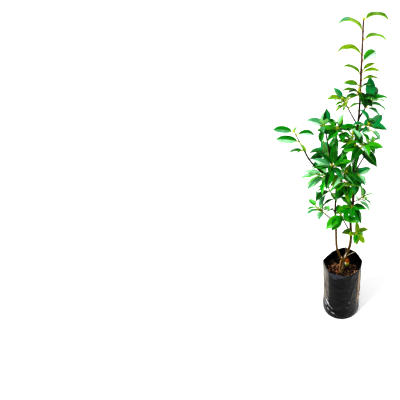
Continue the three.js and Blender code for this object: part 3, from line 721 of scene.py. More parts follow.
class Shader:
    """A material's nodes, joined by short calls. Sizes and depths are in millimetres."""

    def __init__(self, name, colour, roughness=0.5, specular=0.5):
        self.material = bpy.data.materials.new(name)
        self.material.use_nodes = True
        self.tree = self.material.node_tree
        self.surface = self.tree.nodes["Principled BSDF"]
        self.surface.inputs["Base Color"].default_value = linear(colour)
        self.surface.inputs["Roughness"].default_value = roughness
        self.surface.inputs["Specular IOR Level"].default_value = specular
        self.place = self.tree.nodes.new("ShaderNodeTexCoord").outputs["Object"]

    def join(self, source, target):
        self.tree.links.new(source, target)

    def node(self, kind, output, inputs):
        """One output of a new node whose inputs are given by name or number, each a value or a socket."""
        node = self.tree.nodes.new("ShaderNode" + kind)
        for name, value in inputs.items():
            if isinstance(value, bpy.types.NodeSocket):
                self.join(value, node.inputs[name])
            else:
                node.inputs[name].default_value = value
        return node.outputs[output]

    def stretched(self, scale):
        """The place, scaled along each axis if a scale is given."""
        if scale is None:
            return self.place
        return self.node("Mapping", "Vector", {"Scale": scale, "Vector": self.place})

    def grain(self, size, detail=3.0, scale=None, rough=0.55):
        """Noise whose lumps have a size."""
        return self.node("TexNoise", "Fac", {
            "Scale": 1 / (size * MM), "Detail": detail, "Roughness": rough, "Vector": self.stretched(scale)})

    def cells(self, size, scale):
        return self.node(
            "TexVoronoi", "Distance", {"Scale": 1 / (size * MM), "Vector": self.stretched(scale)})

    def axis(self, name):
        """The place along one axis, in metres."""
        return self.node("SeparateXYZ", name, {"Vector": self.place})

    def ramp(self, value, *stops):
        """Colours at places from 0 to 1."""
        colours = self.node("ValToRGB", "Color", {"Fac": value})
        band = colours.node.color_ramp
        while len(band.elements) < len(stops):
            band.elements.new(0.5)
        for element, (position, colour) in zip(band.elements, stops):
            element.position = position
            element.color = linear(colour)
        return colours

    def spread(self, value, low, high, start=0.35, end=0.65):
        """Numbers from `low` to `high` as the value goes from start to end."""
        return self.node("MapRange", "Result", {
            "From Min": start, "From Max": end, "To Min": low, "To Max": high, "Value": value})

    def times(self, first, second):
        product = self.node("Math", 0, {0: first, 1: second})
        product.node.operation = "MULTIPLY"
        return product

    def mix(self, amount, first, second):
        """A mix of two colours, each a code or a socket."""
        node = self.tree.nodes.new("ShaderNodeMix")
        node.data_type = "RGBA"
        self.join(amount, node.inputs["Factor"])
        for value, name in ((first, "A"), (second, "B")):
            socket = [s for s in node.inputs if s.name == name and s.type == "RGBA"][0]
            if isinstance(value, str):
                socket.default_value = linear(value)
            else:
                self.join(value, socket)
        return [s for s in node.outputs if s.type == "RGBA"][0]

    def colour(self, source):
        self.join(source, self.surface.inputs["Base Color"])

    def mottled(self, size, first, second):
        """The surface in two shades, in patches of a size."""
        self.colour(self.mix(self.spread(self.grain(size), 0, 1), first, second))

    def roughness(self, source):
        self.join(source, self.surface.inputs["Roughness"])

    def bump(self, height, depth, strength):
        normal = self.node("Bump", "Normal", {"Strength": strength, "Distance": depth * MM, "Height": height})
        self.join(normal, self.surface.inputs["Normal"])


def skin(name, colour, shade, roughness, specular, patches, gloss, pores):
    """A living surface in two mottled shades. `gloss` gives how large its patches of sheen are and how far
    below and above the roughness they go, `pores` the size, depth and strength of its fine relief."""
    shader = Shader(name, colour, roughness, specular)
    shader.mottled(patches, colour, shade)
    sheen, below, above = gloss
    shader.roughness(shader.spread(shader.grain(sheen), roughness - below, roughness + above))
    pore, depth, strength = pores
    shader.bump(shader.grain(pore, detail=2), depth, strength)
    return shader.material


def leaf_top(name, colour, shade, roughness=0.26):
    """A waxy upper side."""
    return skin(name, colour, shade, roughness, 0.16, 9, (3, 0.05, 0.1), (0.9, 0.12, 0.35))


def leaf_under(name, colour, shade):
    return skin(name, colour, shade, 0.55, 0.15, 6, (2, 0.05, 0.11), (0.7, 0.1, 0.3))


def stalk(name, colour, shade, roughness=0.5, size=5.0):
    return skin(name, colour, shade, roughness, 0.2, size, (size / 3, 0.08, 0.1), (0.8, 0.1, 0.4))


def grit(name, colour, first, second, roughness, specular=0.2, size=1.2):
    """A dry, dull surface in two mottled shades."""
    shader = Shader(name, colour, roughness, specular)
    shader.mottled(size, first, second)
    return shader.material


def bark(name, dark, middle, pale, roughness, long=5.0):
    """Bark streaked lengthwise, with pale raised pores and fine cracks."""
    shader = Shader(name, middle, roughness, specular=0.15)
    streaks = shader.grain(1.6, detail=5, scale=(1, 1, 1 / long))
    patches = shader.grain(14, detail=3, scale=(1, 1, 0.4))
    colour = shader.ramp(streaks, (0.3, dark), (0.5, middle), (0.72, pale))
    colour = shader.mix(shader.spread(patches, 0, 0.6, 0.45, 0.7), colour, pale)
    pores = shader.spread(shader.cells(3.4, scale=(1, 1, 0.8)), 1, 0, 0.06, 0.16)
    shader.colour(shader.mix(pores, colour, pale))
    shader.roughness(shader.spread(patches, roughness - 0.1, roughness + 0.1))
    shader.bump(streaks, 0.5, 0.6)
    return shader.material


def wood_of_ages(name, roughness, heights, old, young):
    """Streaked bark whose dark, middle and pale colours change from old to young between two heights."""
    shader = Shader(name, old[1], roughness, specular=0.15)
    streaks = shader.grain(1.6, detail=5, scale=(1, 1, 0.2))
    ages = [shader.ramp(streaks, *zip((0.3, 0.5, 0.72), colours)) for colours in (old, young)]
    shader.colour(shader.mix(shader.spread(shader.axis("Z"), 0, 1, *heights), *ages))
    shader.roughness(shader.spread(streaks, roughness - 0.1, roughness + 0.1))
    shader.bump(streaks, 0.5, 0.6)
    return shader.material


# ---------------------------------------------------------------- leaves

RIB_HALF = 0.32
RIB_DEPTH = 0.75
RIB_SUNK = 0.22
BLADE_THICKNESS = 0.34
MARGIN_THICKNESS = 0.16
VEIN_DEPTH = 0.16
VEIN_PAIRS = 8.5
VEIN_SLANT = 1.5
TOOTH_DEPTH = 0.4
# Where a blade's columns of points lie across it: at the rib (0), its sides, the half blades and the margins.
ACROSS = np.array([-1, -0.93, -0.58, -0.24, 0, 0.24, 0.58, 0.93, 1.0])
RIB_COLUMN = 4
RIB_SIDE = 0.24
# The share of a blade from which its tip is drawn out and hooked, and how much narrower that makes its end.
TIP_FROM = 0.72
TIP_DRAWN = 0.36
BLADE_FULLER = 1.12
FOLD_FULLER = 1.25


def full_outline(share):
    """The solids' outline with a fuller middle and a drawn-out tip, as the real leaf has."""
    tip = 1 - TIP_DRAWN * np.clip((share - TIP_FROM) / (1 - TIP_FROM), 0, 1)
    return BLADE_FULLER * outline(share, 0.72, 1.08) * tip


def blade_line(leaf, share, draws):
    """The rib of a blade, and the ways to its side and up from it, with a hooked tip and a twist."""
    turn = np.radians(leaf.arch) * share
    past = np.clip(share - TIP_FROM, 0, 1) ** 2
    hook = np.radians(draws.between(6, 22)) * past * 10
    bow = leaf.length / math.radians(leaf.arch)
    ahead = leaf.petiole + bow * np.sin(turn)
    drop = bow * (1 - np.cos(turn)) + leaf.length * past * draws.between(0.1, 0.5)
    rib = leaf.root + leaf.way * ahead[:, None] - leaf.face * drop[:, None]
    up = leaf.face * np.cos(turn + hook)[:, None] + leaf.way * np.sin(turn + hook)[:, None]
    twist = (np.radians(draws.between(-14, 14)) * share)[:, None]
    side = leaf.side * np.cos(twist) + up * np.sin(twist)
    return rib, side, up * np.cos(twist) - leaf.side * np.sin(twist)


def blade_points(leaf, share, draws):
    """Points of a blade's upper and under side, row by row from base to tip."""
    rib, side, up = blade_line(leaf, share, draws)
    half = leaf.width / 2 * full_outline(share)
    rib_half = np.minimum(RIB_HALF * (1.15 - share), half * 0.4)
    reach = np.abs(ACROSS)[None]
    out = np.where(
        reach <= RIB_SIDE,
        np.where(reach > 0, rib_half[:, None], 0),
        rib_half[:, None] + (half - rib_half)[:, None] * ((reach - RIB_SIDE) / (1 - RIB_SIDE)))
    teeth = TOOTH_DEPTH * np.minimum(1, half / 5) * (np.arange(len(share)) % 2 - 0.4)
    out[:, [0, -1]] += teeth[:, None]
    fold = math.radians(leaf.fold) * FOLD_FULLER
    lift = math.sin(fold) * (out - 0.38 * out**2 / (half.max() + 0.1))
    phase = draws.between(0, 6.28)
    waves = np.sin(share * draws.between(8, 13) + phase)[:, None] * np.sign(ACROSS)[None] * 0.5
    waves = waves + np.cos(share * draws.between(10, 15) + phase)[:, None] * 0.6
    lift = lift + waves * leaf.length / 55 * reach**2
    veins = np.cos(2 * math.pi * (share[:, None] * VEIN_PAIRS - VEIN_SLANT * reach))
    fade = np.sin(math.pi * share)[:, None] * np.clip(1.15 - reach, 0, 1) * np.clip(reach * 4, 0, 1)
    lift = lift + VEIN_DEPTH * veins * fade
    lift[:, RIB_COLUMN] -= RIB_SUNK * (1 - share)
    across = side[:, None] * (np.sign(ACROSS)[None] * out * math.cos(fold))[:, :, None]
    top = rib[:, None] + across + up[:, None] * lift[:, :, None]
    thick = MARGIN_THICKNESS + (BLADE_THICKNESS - MARGIN_THICKNESS) * (1 - reach**2)
    thick = np.repeat(thick, len(share), 0)
    thick[:, RIB_COLUMN] += RIB_DEPTH * (1.05 - share)
    return top, top - up[:, None] * thick[:, :, None]


def rim_of_grid(rows, columns):
    """The outermost points of a grid, in turn."""
    return np.concatenate([
        np.arange(columns), np.arange(1, rows) * columns + columns - 1,
        (rows - 1) * columns + np.arange(columns - 2, -1, -1), np.arange(rows - 2, 0, -1) * columns])


def add_blade(sheaf, leaf, paint, draws, stations, under_paint, rib_paint):
    """One leaf blade as a thin closed shell: toothed margins, a sunken rib, veins and a slightly wavy edge.
    The paint of the upper side is spread over its rows of faces from base to tip and its columns across."""
    top, under = blade_points(leaf, np.linspace(0.012, 0.994, stations), draws)
    columns = len(ACROSS)
    below = stations * columns
    upper = grid_faces(stations, columns)
    on_rib = np.isin(upper[:, 0] % columns, (RIB_COLUMN - 1, RIB_COLUMN))
    rim = rim_of_grid(stations, columns)
    after = np.roll(rim, -1)
    edge = np.stack([rim + below, after + below, after, rim], 1)
    sheaf.add(
        np.concatenate([top.reshape(-1, 3), under.reshape(-1, 3)]),
        np.concatenate([upper, upper[:, ::-1] + below, edge]),
        np.concatenate([
            np.where(on_rib, rib_paint, np.broadcast_to(paint, (stations - 1, columns - 1)).ravel()),
            np.where(on_rib, rib_paint, under_paint),
            np.full(len(edge), under_paint)]),
        np.repeat([False, True], [2 * len(upper), len(edge)]))


def add_petiole(sheaf, leaf, thickness=1.0):
    """The stalk of a leaf, swollen where it leaves the shoot and running on under the blade."""
    share = np.array([0, 0.12, 0.3, 0.55, 0.8, 1.0])
    line = leaf.root + leaf.way * (leaf.petiole * share)[:, None]
    sag = 0.5 * np.sin(math.pi * share)[:, None]
    line = line - leaf.face * sag
    after = [leaf.rib(s)[0] - leaf.rib(s)[1] * 0.55 for s in (0.05, 0.12)]
    line = np.concatenate([line, after])
    radii = thickness * np.array([1.25, 1.15, 0.9, 0.8, 0.78, 0.75, 0.6, 0.4])
    tube(sheaf, line, radii, sides=7)


def add_bud(sheaf, base, way, length, radius, paint=0):
    """A pointed bud with three rows of overlapping scales."""
    share = np.array([0, 0.12, 0.3, 0.36, 0.5, 0.62, 0.68, 0.8, 0.92, 1.0])
    swell = np.array([0.55, 0.9, 1.0, 0.86, 0.95, 0.8, 0.62, 0.5, 0.26, 0.05])
    line = base + way * (length * share)[:, None]
    tube(sheaf, line, radius * swell, sides=7, paint=paint, tip=1.0)


# ---------------------------------------------------------------- finer growth

# Greens of the upper side, dealt out by spray: each mass takes leaves from its own few.
# The mist, mint and silver paints are painted sky reflections on the glossy upper side, and the sea green is
# partly one, the bluish cast of leaves that face the sky.
LIME, FRESH, BRIGHT, MID, RICH, DEEP, DARK, SEA, MIST_SHEEN, OLIVE, PALE = range(11)
MINT_SHEEN, UNDER, UNDER_YOUNG, RIB, YELLOW, SILVER_SHEEN = range(11, 17)
LEAF_PAINTS = [
    leaf_top("leaf_lime", "#80a000", "#5c8000"),
    leaf_top("leaf_fresh", "#60a608", "#469604"),
    leaf_top("leaf_bright", "#3ea006", "#2a9004"),
    leaf_top("leaf_mid", "#129618", "#0a860e"),
    leaf_top("leaf_rich", "#047c06", "#036c04"),
    leaf_top("leaf_deep", "#046004", "#035002"),
    leaf_top("leaf_dark", "#064002", "#043202"),
    leaf_top("leaf_sea", "#048a48", "#04783c"),
    leaf_top("leaf_mist_sheen", "#569c6c", "#428858"),
    leaf_top("leaf_olive", "#5c8c02", "#486e02"),
    leaf_top("leaf_pale", "#6cc05c", "#54ac44"),
    leaf_top("leaf_mint_sheen", "#94cca0", "#78b486"),
    leaf_under("leaf_under", "#94d47c", "#7cc466"),
    leaf_under("leaf_under_young", "#90c414", "#78b00c"),
    stalk("leaf_rib", "#7cb81c", "#5ca414", 0.4),
    leaf_top("leaf_yellow", "#b0c404", "#94b804"),
    leaf_top("leaf_silver_sheen", "#c0dccc", "#a4ccb4"),
]
# What the darker half of a blade, a painted shade on the half turned from the light, and its margin take, for
# each paint of its brighter half.
SHADED_HALF = (OLIVE, BRIGHT, RICH, DEEP, DARK, DARK, DARK, DEEP, SEA, RICH, MID)
MARGIN = (YELLOW, LIME, FRESH, BRIGHT, MID, RICH, DEEP, SEA, MIST_SHEEN, LIME, FRESH)
SHADED_HALF_CHANCE = 0.7


def look(*greens, pale=0.0, slim=1.0):
    """The greens of a mass, the chance that one half of a blade is pale, as where more sky falls on it, and
    the leaves' width as a share of the row's."""
    return dict(greens=greens, pale=pale, slim=slim)


LOOKS = {
    "leader": look(LIME, OLIVE, LIME), "leader_foot": look(DEEP, DARK, RICH),
    "upper_right": look(SEA, MIST_SHEEN, SEA, pale=0.35), "upper_left": look(FRESH, BRIGHT, LIME),
    "mid_right": look(SEA, DEEP, MIST_SHEEN, pale=0.35), "mid_left": look(MID, RICH, BRIGHT),
    "front_right": look(BRIGHT, DEEP, OLIVE, pale=0.2, slim=0.9), "right": look(DEEP, SEA, RICH, pale=0.3),
    "back_left": look(RICH, DEEP, SEA, pale=0.25), "front": look(OLIVE, RICH, BRIGHT, slim=0.88),
    "right_centre": look(SEA, MID, SEA, pale=0.2), "lower_right": look(MID, BRIGHT, SEA, pale=0.35),
    "lower_front": look(MID, BRIGHT, RICH, pale=0.15, slim=0.86),
    "low": look(BRIGHT, MID, OLIVE, pale=0.12), "low_right": look(LIME, FRESH, BRIGHT),
    "far_left": look(MID, PALE, BRIGHT, slim=0.8), "left_top": look(RICH, MIST_SHEEN, OLIVE, pale=0.45),
    "left_centre": look(RICH, MID, SEA, pale=0.25, slim=0.85),
    "left_fan": look(PALE, MID, MIST_SHEEN, pale=0.5, slim=0.9),
    "left_inner": look(DEEP, OLIVE, MID, pale=0.2, slim=0.8), "low_left": look(PALE, RICH, MIST_SHEEN, pale=0.45),
    "back": look(MID, RICH, BRIGHT), "back_low": look(MID, RICH, FRESH),
    "back_left_stem": look(RICH, MID, DEEP),
}
# Paints of the two halves of the leaves that a row names one by one, in the row's order. Their darker halves
# are painted shade, and their silver, mint and mist halves are painted sky reflections.
LEAD_PAINTS = {
    "leader": (
        (OLIVE, LIME), (LIME, LIME), (OLIVE, LIME), (LIME, LIME), (BRIGHT, SILVER_SHEEN), (LIME, LIME),
        (LIME, FRESH), (OLIVE, OLIVE), (LIME, OLIVE), (RICH, OLIVE), (RICH, OLIVE)),
    "leader_foot": ((DARK, DEEP), (RICH, OLIVE), (RICH, OLIVE), (DARK, DEEP)),
    "upper_right": ((SEA, SEA), (RICH, BRIGHT), (DARK, DEEP), (MIST_SHEEN, SEA)),
    "upper_left": ((FRESH, LIME), (MIST_SHEEN, SEA), (LIME, FRESH), (BRIGHT, LIME)),
    "mid_right": ((DEEP, RICH), (SEA, DEEP)),
    "mid_left": ((DEEP, BRIGHT), (RICH, DEEP), (MINT_SHEEN, FRESH)),
    "low": ((PALE, BRIGHT), (OLIVE, BRIGHT), (BRIGHT, SILVER_SHEEN), (OLIVE, RICH)),
    "far_left": ((MIST_SHEEN, RICH), (MINT_SHEEN, RICH), (RICH, SILVER_SHEEN), (RICH, DEEP), (LIME, FRESH)),
    "left_top": ((DEEP, SEA), (SILVER_SHEEN, MIST_SHEEN), (RICH, DEEP)),
    "left_centre": ((SEA, RICH), (RICH, DEEP), (BRIGHT, RICH), (SILVER_SHEEN, MIST_SHEEN)),
}
# The leaf of the leader with a pale patch on its outer part, a painted sky reflection where its twisted tip
# faces the sky.
SHEEN_PATCHED = ("leader", 1)
SHEEN_PATCH_FROM = 0.5
# How much thicker the wood is, with its bark, than the limbs of the rule.
STEM_FULLER = 1.16
BOUGH_FULLER = 1.5
TWIG_FULLER = 1.4

FINE_TWIGS = 3
BARE_OF_FINE = ("leader", "far_left")
FINE_BASE = 0.75
FINE_TIP = 0.5
FINE_LEAVES = 3
FINE_ROOM = 2.5
REACH_MARGIN = 3.0


def inside_reach(points, name):
    """Whether points keep to the space that a mass has in the solids, give or take a small margin."""
    low, high = (np.array(corner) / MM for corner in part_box(name + "_leaves"))
    return bool(((points > low - REACH_MARGIN) & (points < high + REACH_MARGIN)).all())


def finer_twigs(name, limbs, shoots, placed):
    """Short side shoots that carry a few small leaves, in what room the mass has left."""
    row = MASSES[name]
    draws = Draws(row["seed"] + FINE_SEED)
    others = other_limbs(name, limbs, shoots)

    def blocked(points, tested):
        if touches(tested, placed, FINE_ROOM) or not inside_reach(points, name):
            return True
        return touches_any(points, others)

    twigs, added = [], []
    for _ in range(FINE_TWIGS):
        shoot = shoots[name][0]
        start, along = shoot.at(shoot.length * draws.between(max(shoot.bare, 0.15), 0.92))
        out = turned(side_of(along), along, draws.between(0, 360))
        lean = math.radians(draws.between(38, 62))
        azimuth, rise = heading_angles(unit(along * math.cos(lean) + out * math.sin(lean)))
        length = draws.between(9, 19)
        twig = Limb(curved(start, azimuth, rise, TWIG_BEND, length, 3), FINE_BASE, FINE_TIP)
        points = np.array(twig.points[1:])
        if blocked(points, points):
            continue
        twigs.append(twig)
        first = draws.between(0, 360)
        for k in range(FINE_LEAVES):
            root, way_on = twig.at(twig.length * (0.3 + 0.68 * (k + 1) / FINE_LEAVES))
            spin = turned(side_of(way_on), way_on, first + k * GOLDEN_TURN)
            opening = math.radians(draws.between(28, 62))
            way = way_on * math.cos(opening) + spin * math.sin(opening)
            size = row["size"] * draws.between(0.34, 0.62)
            width = size * row["width"] * draws.between(0.85, 1.0)
            leaf = Leaf(
                root, way, face_of(way_on, way), size, width, draws.between(2.5, 4.5), row["arch"],
                draws.between(14, 30), draws.between(-20, 20))
            points = leaf.samples()
            if blocked(points, points[1:]):
                continue
            leaf.along = way_on
            added.append(leaf)
            placed = np.concatenate([placed, points])
    return twigs, added, placed


# ---------------------------------------------------------------- limbs and shoots with bark

# Millimetres from ring to ring along stems and boughs, and along shoots.
LIMB_STEP = 2.0
SHOOT_STEP = 1.2
# Parts that the swellings of old leaf joints divide a stem and a bough into.
STEM_PARTS = 17
BOUGH_PARTS = 5
# How much of a stem's start lies inside the fork, and how much a collar and a leaf joint swell the wood.
FORK_RADIUS = 7
COLLAR = 0.5
JOINT = 0.3


def bark_relief(depth, width, long, seed):
    """Ridges and furrows that run lengthwise, in millimetres."""
    def relief(line, turn, radii):
        points = on_round(turn, 1, 0)[None] * radii[:, None, None] / width
        points = points + UP * marks_of(line)[:, None, None] / long
        flat = points.reshape(-1, 3)
        fine = noise(flat, 1.0, seed) + 0.5 * noise(flat, 0.45, seed + 1)
        return depth * fine.reshape(len(line), len(turn))
    return relief


def add_limb(sheaf, limb, knobs, parent_radius, step, sides, depth, seed, fuller, paint=0):
    """A limb with bark, a collar where it leaves its parent and a swelling at each knob's mark."""
    line = smooth_line(limb.points, step)
    marks = marks_of(line)
    radii = fuller * (limb.base + (limb.tip - limb.base) * marks / marks[-1])
    collar = np.exp(-np.maximum(marks - parent_radius, 0) / (1.2 * limb.base + 1.0))
    radii = radii * (1 + COLLAR * collar * (parent_radius > 0))
    for knob in knobs:
        radii = radii + JOINT * limb.tip * np.exp(-((marks - knob) / (0.6 + limb.tip)) ** 2)
    width = max(1.1, limb.base * 0.5)
    tube(sheaf, line, radii, sides, paint, bark_relief(depth, width, 7.0, seed))


def nearest_mark(limb, point):
    """The mark on a limb that lies nearest to a point."""
    line = smooth_line(limb.points, LIMB_STEP)
    marks = marks_of(line)
    return marks[int(((line - point) ** 2).sum(1).argmin())]


def radius_at(limb, point):
    """A limb's radius at the place nearest to a point."""
    share = nearest_mark(limb, point) / limb.length
    return limb.base + (limb.tip - limb.base) * share


# The trunk's girth as a share of the solid's. Its ridges and strands stand out from it.
TRUNK_SLIM = 0.78
TRUNK_ROWS = 64
TRUNK_AROUND = 60
# A tan strand (paint 1) that runs down the side of the trunk, its bright tan partly a painted highlight on
# the trunk's lit edge, and pale strips at the fork (paint 2), partly scars and partly painted highlights
# where the light catches the fork.
TRUNK_STRANDS = (
    (1, [
        (-4.5, -14, 258), (-7.2, -18, 250), (-9.2, -22, 240), (-10.8, -27, 229), (-11.4, -32, 216),
        (-12, -34, 207)]),
    (2, [(-1.5, -10, 258), (-3.2, -13, 262), (-4.6, -14, 267)]),
    (2, [(5.5, -10.4, 263), (8.2, -8.9, 272), (11.0, -7.5, 281)]))


def make_trunk():
    """The flared, ridged trunk, from just below the mix to the fork."""
    line = smooth_line(TRUNK_LINE, 1.0)
    heights = np.array([p[2] for p in TRUNK_LINE], float)
    low, high = heights[0] - 5, heights[-1] + 6
    z = np.linspace(low, high, TRUNK_ROWS)
    middle = np.stack([np.interp(z, line[:, 2], line[:, 0]), np.interp(z, line[:, 2], line[:, 1]), z], 1)
    radius = np.interp(z, heights, TRUNK_RADII)
    fall = np.clip(1 - (z - heights[0]) / (heights[-1] - heights[0]), 0, 1.1)
    close = np.sqrt(np.clip((high - z) / 16, 0.02, 1))
    turn = turns(TRUNK_AROUND)
    lobes = 1 + FLARE * fall[:, None] ** 2 * np.cos(FLARE_LOBES * turn)[None]
    lobes = lobes + 0.1 * fall[:, None] ** 2 * np.cos(7 * turn + 1.0)[None]
    ring = TRUNK_SLIM * radius[:, None] * lobes
    out = on_round(turn, 1, 0)[None]
    # Sampled with its height pressed together, the noise gives ridges that run up the trunk.
    flat = (out * ring[:, :, None] + UP * 0.22 * z[:, None, None]).reshape(-1, 3)
    ridges = 0.95 * noise(flat, 2.8, 3) + 0.45 * noise(flat, 1.2, 4)
    ring = (ring + ridges.reshape(ring.shape)) * close[:, None]
    rings = middle[:, None] + out * ring[:, :, None]
    points = np.concatenate([rings.reshape(-1, 3), [middle[0]], [middle[-1] + UP * 0.3]])
    sheaf = Sheaf()
    sheaf.add(points, capped_faces(TRUNK_ROWS, TRUNK_AROUND))
    for paint, strand in TRUNK_STRANDS:
        line = smooth_line(strand, 1.0)
        radii = 1.15 + 0.3 * np.cos(marks_of(line) * 0.7)
        tube(sheaf, line, radii, 12, paint, bark_relief(0.25, 1.4, 4.0, 12))
    aged = bark("trunk_bark", "#120a05", "#40301e", "#907650", 0.8, long=4.0)
    # The strand's bright tan and the scars' near white are partly painted highlights.
    tan = bark("trunk_strand_highlit", "#643a12", "#b47834", "#e4b878", 0.75)
    scar_highlight = bark("trunk_scar_highlight", "#b8a888", "#efe6d2", "#fffaf0", 0.7)
    piece = sheaf.make("trunk_bark", [aged, tan, scar_highlight])
    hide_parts("trunk")


def make_limbs(limbs):
    """The stems, the boughs and the dead twigs, each in a mesh of their own."""
    stems, boughs, dead = Sheaf(), Sheaf(), Sheaf()
    for number, name in enumerate(STEMS):
        limb = limbs[name]
        knobs = [nearest_mark(limb, limbs[b].points[0]) for b, row in BOUGHS.items() if row["on"] == name]
        knobs += [limb.length * k / STEM_PARTS for k in range(2, STEM_PARTS)]
        add_limb(stems, limb, knobs, FORK_RADIUS, LIMB_STEP, 20, 0.2, 20 + number, STEM_FULLER)
    for number, (name, row) in enumerate(BOUGHS.items()):
        limb = limbs[name]
        sheaf = dead if name.startswith("dead") else boughs
        knobs = [limb.length * k / BOUGH_PARTS for k in range(2, BOUGH_PARTS)]
        parent_radius = radius_at(limbs[row["on"]], limb.points[0])
        add_limb(sheaf, limb, knobs, parent_radius, LIMB_STEP, 10, 0.08, 40 + number, BOUGH_FULLER)
    # Golden-brown low down, where its pale streaks are partly painted highlights of the lit wood below the
    # crown, and nearly black higher up, where the wood is younger.
    golden = wood_of_ages(
        "stem_bark", 0.62, (0.4, 0.52), ("#1a1004", "#4c340a", "#8c7026"), ("#0c0603", "#24140a", "#5a3c22"))
    piece = stems.make("stem_bark", [golden])
    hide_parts(*STEMS)
    piece = boughs.make("bough_bark", [bark("bough_bark", "#0e0703", "#201208", "#442a14", 0.6)])
    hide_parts(*[name for name in BOUGHS if not name.startswith("dead")])
    bleached = wood_of_ages(
        "dead_bark", 0.75, (0.262, 0.285), ("#8c8068", "#c4b89c", "#f0e8d4"),
        ("#26211a", "#463e32", "#7c705c"))
    piece = dead.make("dead_twig_bark", [bleached])
    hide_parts("dead_twig", "dead_twig_short")


LEAF_PIECES = {
    "leaves_leader": ("leader", "upper_left", "low_right"),
    "leaves_crown": ("upper_right", "mid_right", "mid_left", "front_right", "right", "right_centre"),
    "leaves_dark": ("leader_foot",),
    "leaves_left": ("far_left", "left_top", "left_centre", "left_fan", "left_inner", "low_left"),
    "leaves_low": ("front", "lower_right", "lower_front", "low", "back_low", "back_left_stem"),
    "leaves_back": ("back", "back_left"),
}


def dress_leaf(sheaf, stalks, buds, leaf, name, draws, fine=False):
    """A leaf's blade in its spray's greens, its petiole and the bud above it. Small leaves have no bud."""
    greens = LOOKS[name]["greens"]
    paint = greens[int(draws.draw() ** 1.3 * len(greens))]
    columns = len(ACROSS) - 1
    halves = np.full(columns, paint)
    half = slice(0, RIB_COLUMN) if draws.draw() < 0.5 else slice(RIB_COLUMN, columns)
    if leaf.number is not None:
        halves[:RIB_COLUMN], halves[RIB_COLUMN:] = LEAD_PAINTS[name][leaf.number]
        halves[[0, -1]] = [MARGIN[min(p, PALE)] for p in halves[[0, -1]]]
    else:
        # A pale half is a painted sky reflection, and a darker half is painted shade on the half turned from
        # the light.
        if draws.draw() < LOOKS[name]["pale"]:
            halves[half] = MINT_SHEEN
        elif draws.draw() < SHADED_HALF_CHANCE:
            halves[half] = SHADED_HALF[paint]
        halves[[0, -1]] = MARGIN[paint]
    leaf.width *= LOOKS[name]["slim"]
    stations = 26 if fine else 40
    paints = np.repeat(halves[None], stations - 1, 0)
    # The pale patch is the painted sky reflection on this leaf's outer part.
    if (name, leaf.number) == SHEEN_PATCHED:
        paints[round(SHEEN_PATCH_FROM * stations):, RIB_COLUMN:] = MIST_SHEEN
    add_blade(sheaf, leaf, paints, draws, stations, UNDER_YOUNG if LIME in greens else UNDER, RIB)
    add_petiole(stalks, leaf, 0.9 if fine else 1.6)
    if not fine:
        way = unit(leaf.along * 0.8 + leaf.way * 0.6)
        start = leaf.root + leaf.way * 0.9 + leaf.along * 0.6
        add_bud(buds, start, way, draws.between(4.0, 6.6), draws.between(1.3, 1.9))


def make_foliage(limbs, shoots, leaves, placed):
    """Blades, stalks, twigs and buds of every mass, each kind joined."""
    stalks, twigs, buds = Sheaf(), Sheaf(), Sheaf()
    for piece_name, masses in LEAF_PIECES.items():
        sheaf = Sheaf()
        for name in masses:
            draws = Draws(MASSES[name]["seed"] + LOOKS_SEED)
            fine, small = [], []
            if name not in BARE_OF_FINE:
                fine, small, placed = finer_twigs(name, limbs, shoots, placed)
            for leaf in leaves[name]:
                dress_leaf(sheaf, stalks, buds, leaf, name, draws)
            for leaf in small:
                dress_leaf(sheaf, stalks, buds, leaf, name, draws, fine=True)
            for number, shoot in enumerate(shoots[name]):
                knobs = [leaf.mark for leaf in leaves[name] if leaf.shoot is shoot]
                paint = 1 if name == "leader" else 0
                add_limb(twigs, shoot, knobs, 0, SHOOT_STEP, 10, 0.05, 70 + number, TWIG_FULLER, paint)
                tip, along = shoot.at(shoot.length)
                add_bud(buds, tip, along, draws.between(7, 10.5), draws.between(1.8, 2.3), 1)
            for twig in fine:
                add_limb(twigs, twig, (), 0.8, SHOOT_STEP, 8, 0.03, 90, TWIG_FULLER)
                tip, along = twig.at(twig.length)
                add_bud(buds, tip, along, draws.between(3.5, 5.5), draws.between(0.8, 1.0), 1)
        piece = sheaf.make(piece_name, LEAF_PAINTS)
        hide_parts(*[name + "_leaves" for name in masses])
    piece = stalks.make("petioles", [stalk("petiole", "#acb408", "#8e9806", 0.45)])
    twig_bark = bark("twig_bark", "#180e05", "#34240c", "#5c4c1c", 0.55)
    leader_bark = bark("leader_bark", "#240c0a", "#48201c", "#805850", 0.5)
    piece = twigs.make("twigs", [twig_bark, leader_bark])
    axil = stalk("axil_bud", "#bccc10", "#a4a808", 0.4, 2.0)
    end_bud = stalk("end_bud", "#b8c410", "#94980c", 0.4, 2.5)
    piece = buds.make("buds", [axil, end_bud])


# ---------------------------------------------------------------- the grow bag

FILM = 0.5
BAG_AROUND = 400
BAG_ROWS = 150
INNER_ROWS = 36
# Corners that the flattened bag's folds leave round the rim, in degrees, and how far down they last.
RIM_CORNERS = (-134, -84, -32, 4, 46, 84, 178)
CORNER_REACH = 120
CORNER_SHARE = 0.55
CORNER_OUT = 1.045
# A low place in the rim: where it is (degrees round), its depth and its width.
RIM_SAG = (232, 4.0, 16)
# Each crease and fold has a middle (angle, height), a slant, a half length, a half width and a height.
FOOT_CREASES = 46
FOOT_RANGES = ((0, 360), (6, 78), (8, 26), (1.5, 3.6), (-1.2, 1.4))
WALL_CREASES = 26
WALL_RANGES = ((0, 360), (70, 225), (68, 112), (18, 60), (2.4, 6.5), (-1.1, 1.2))
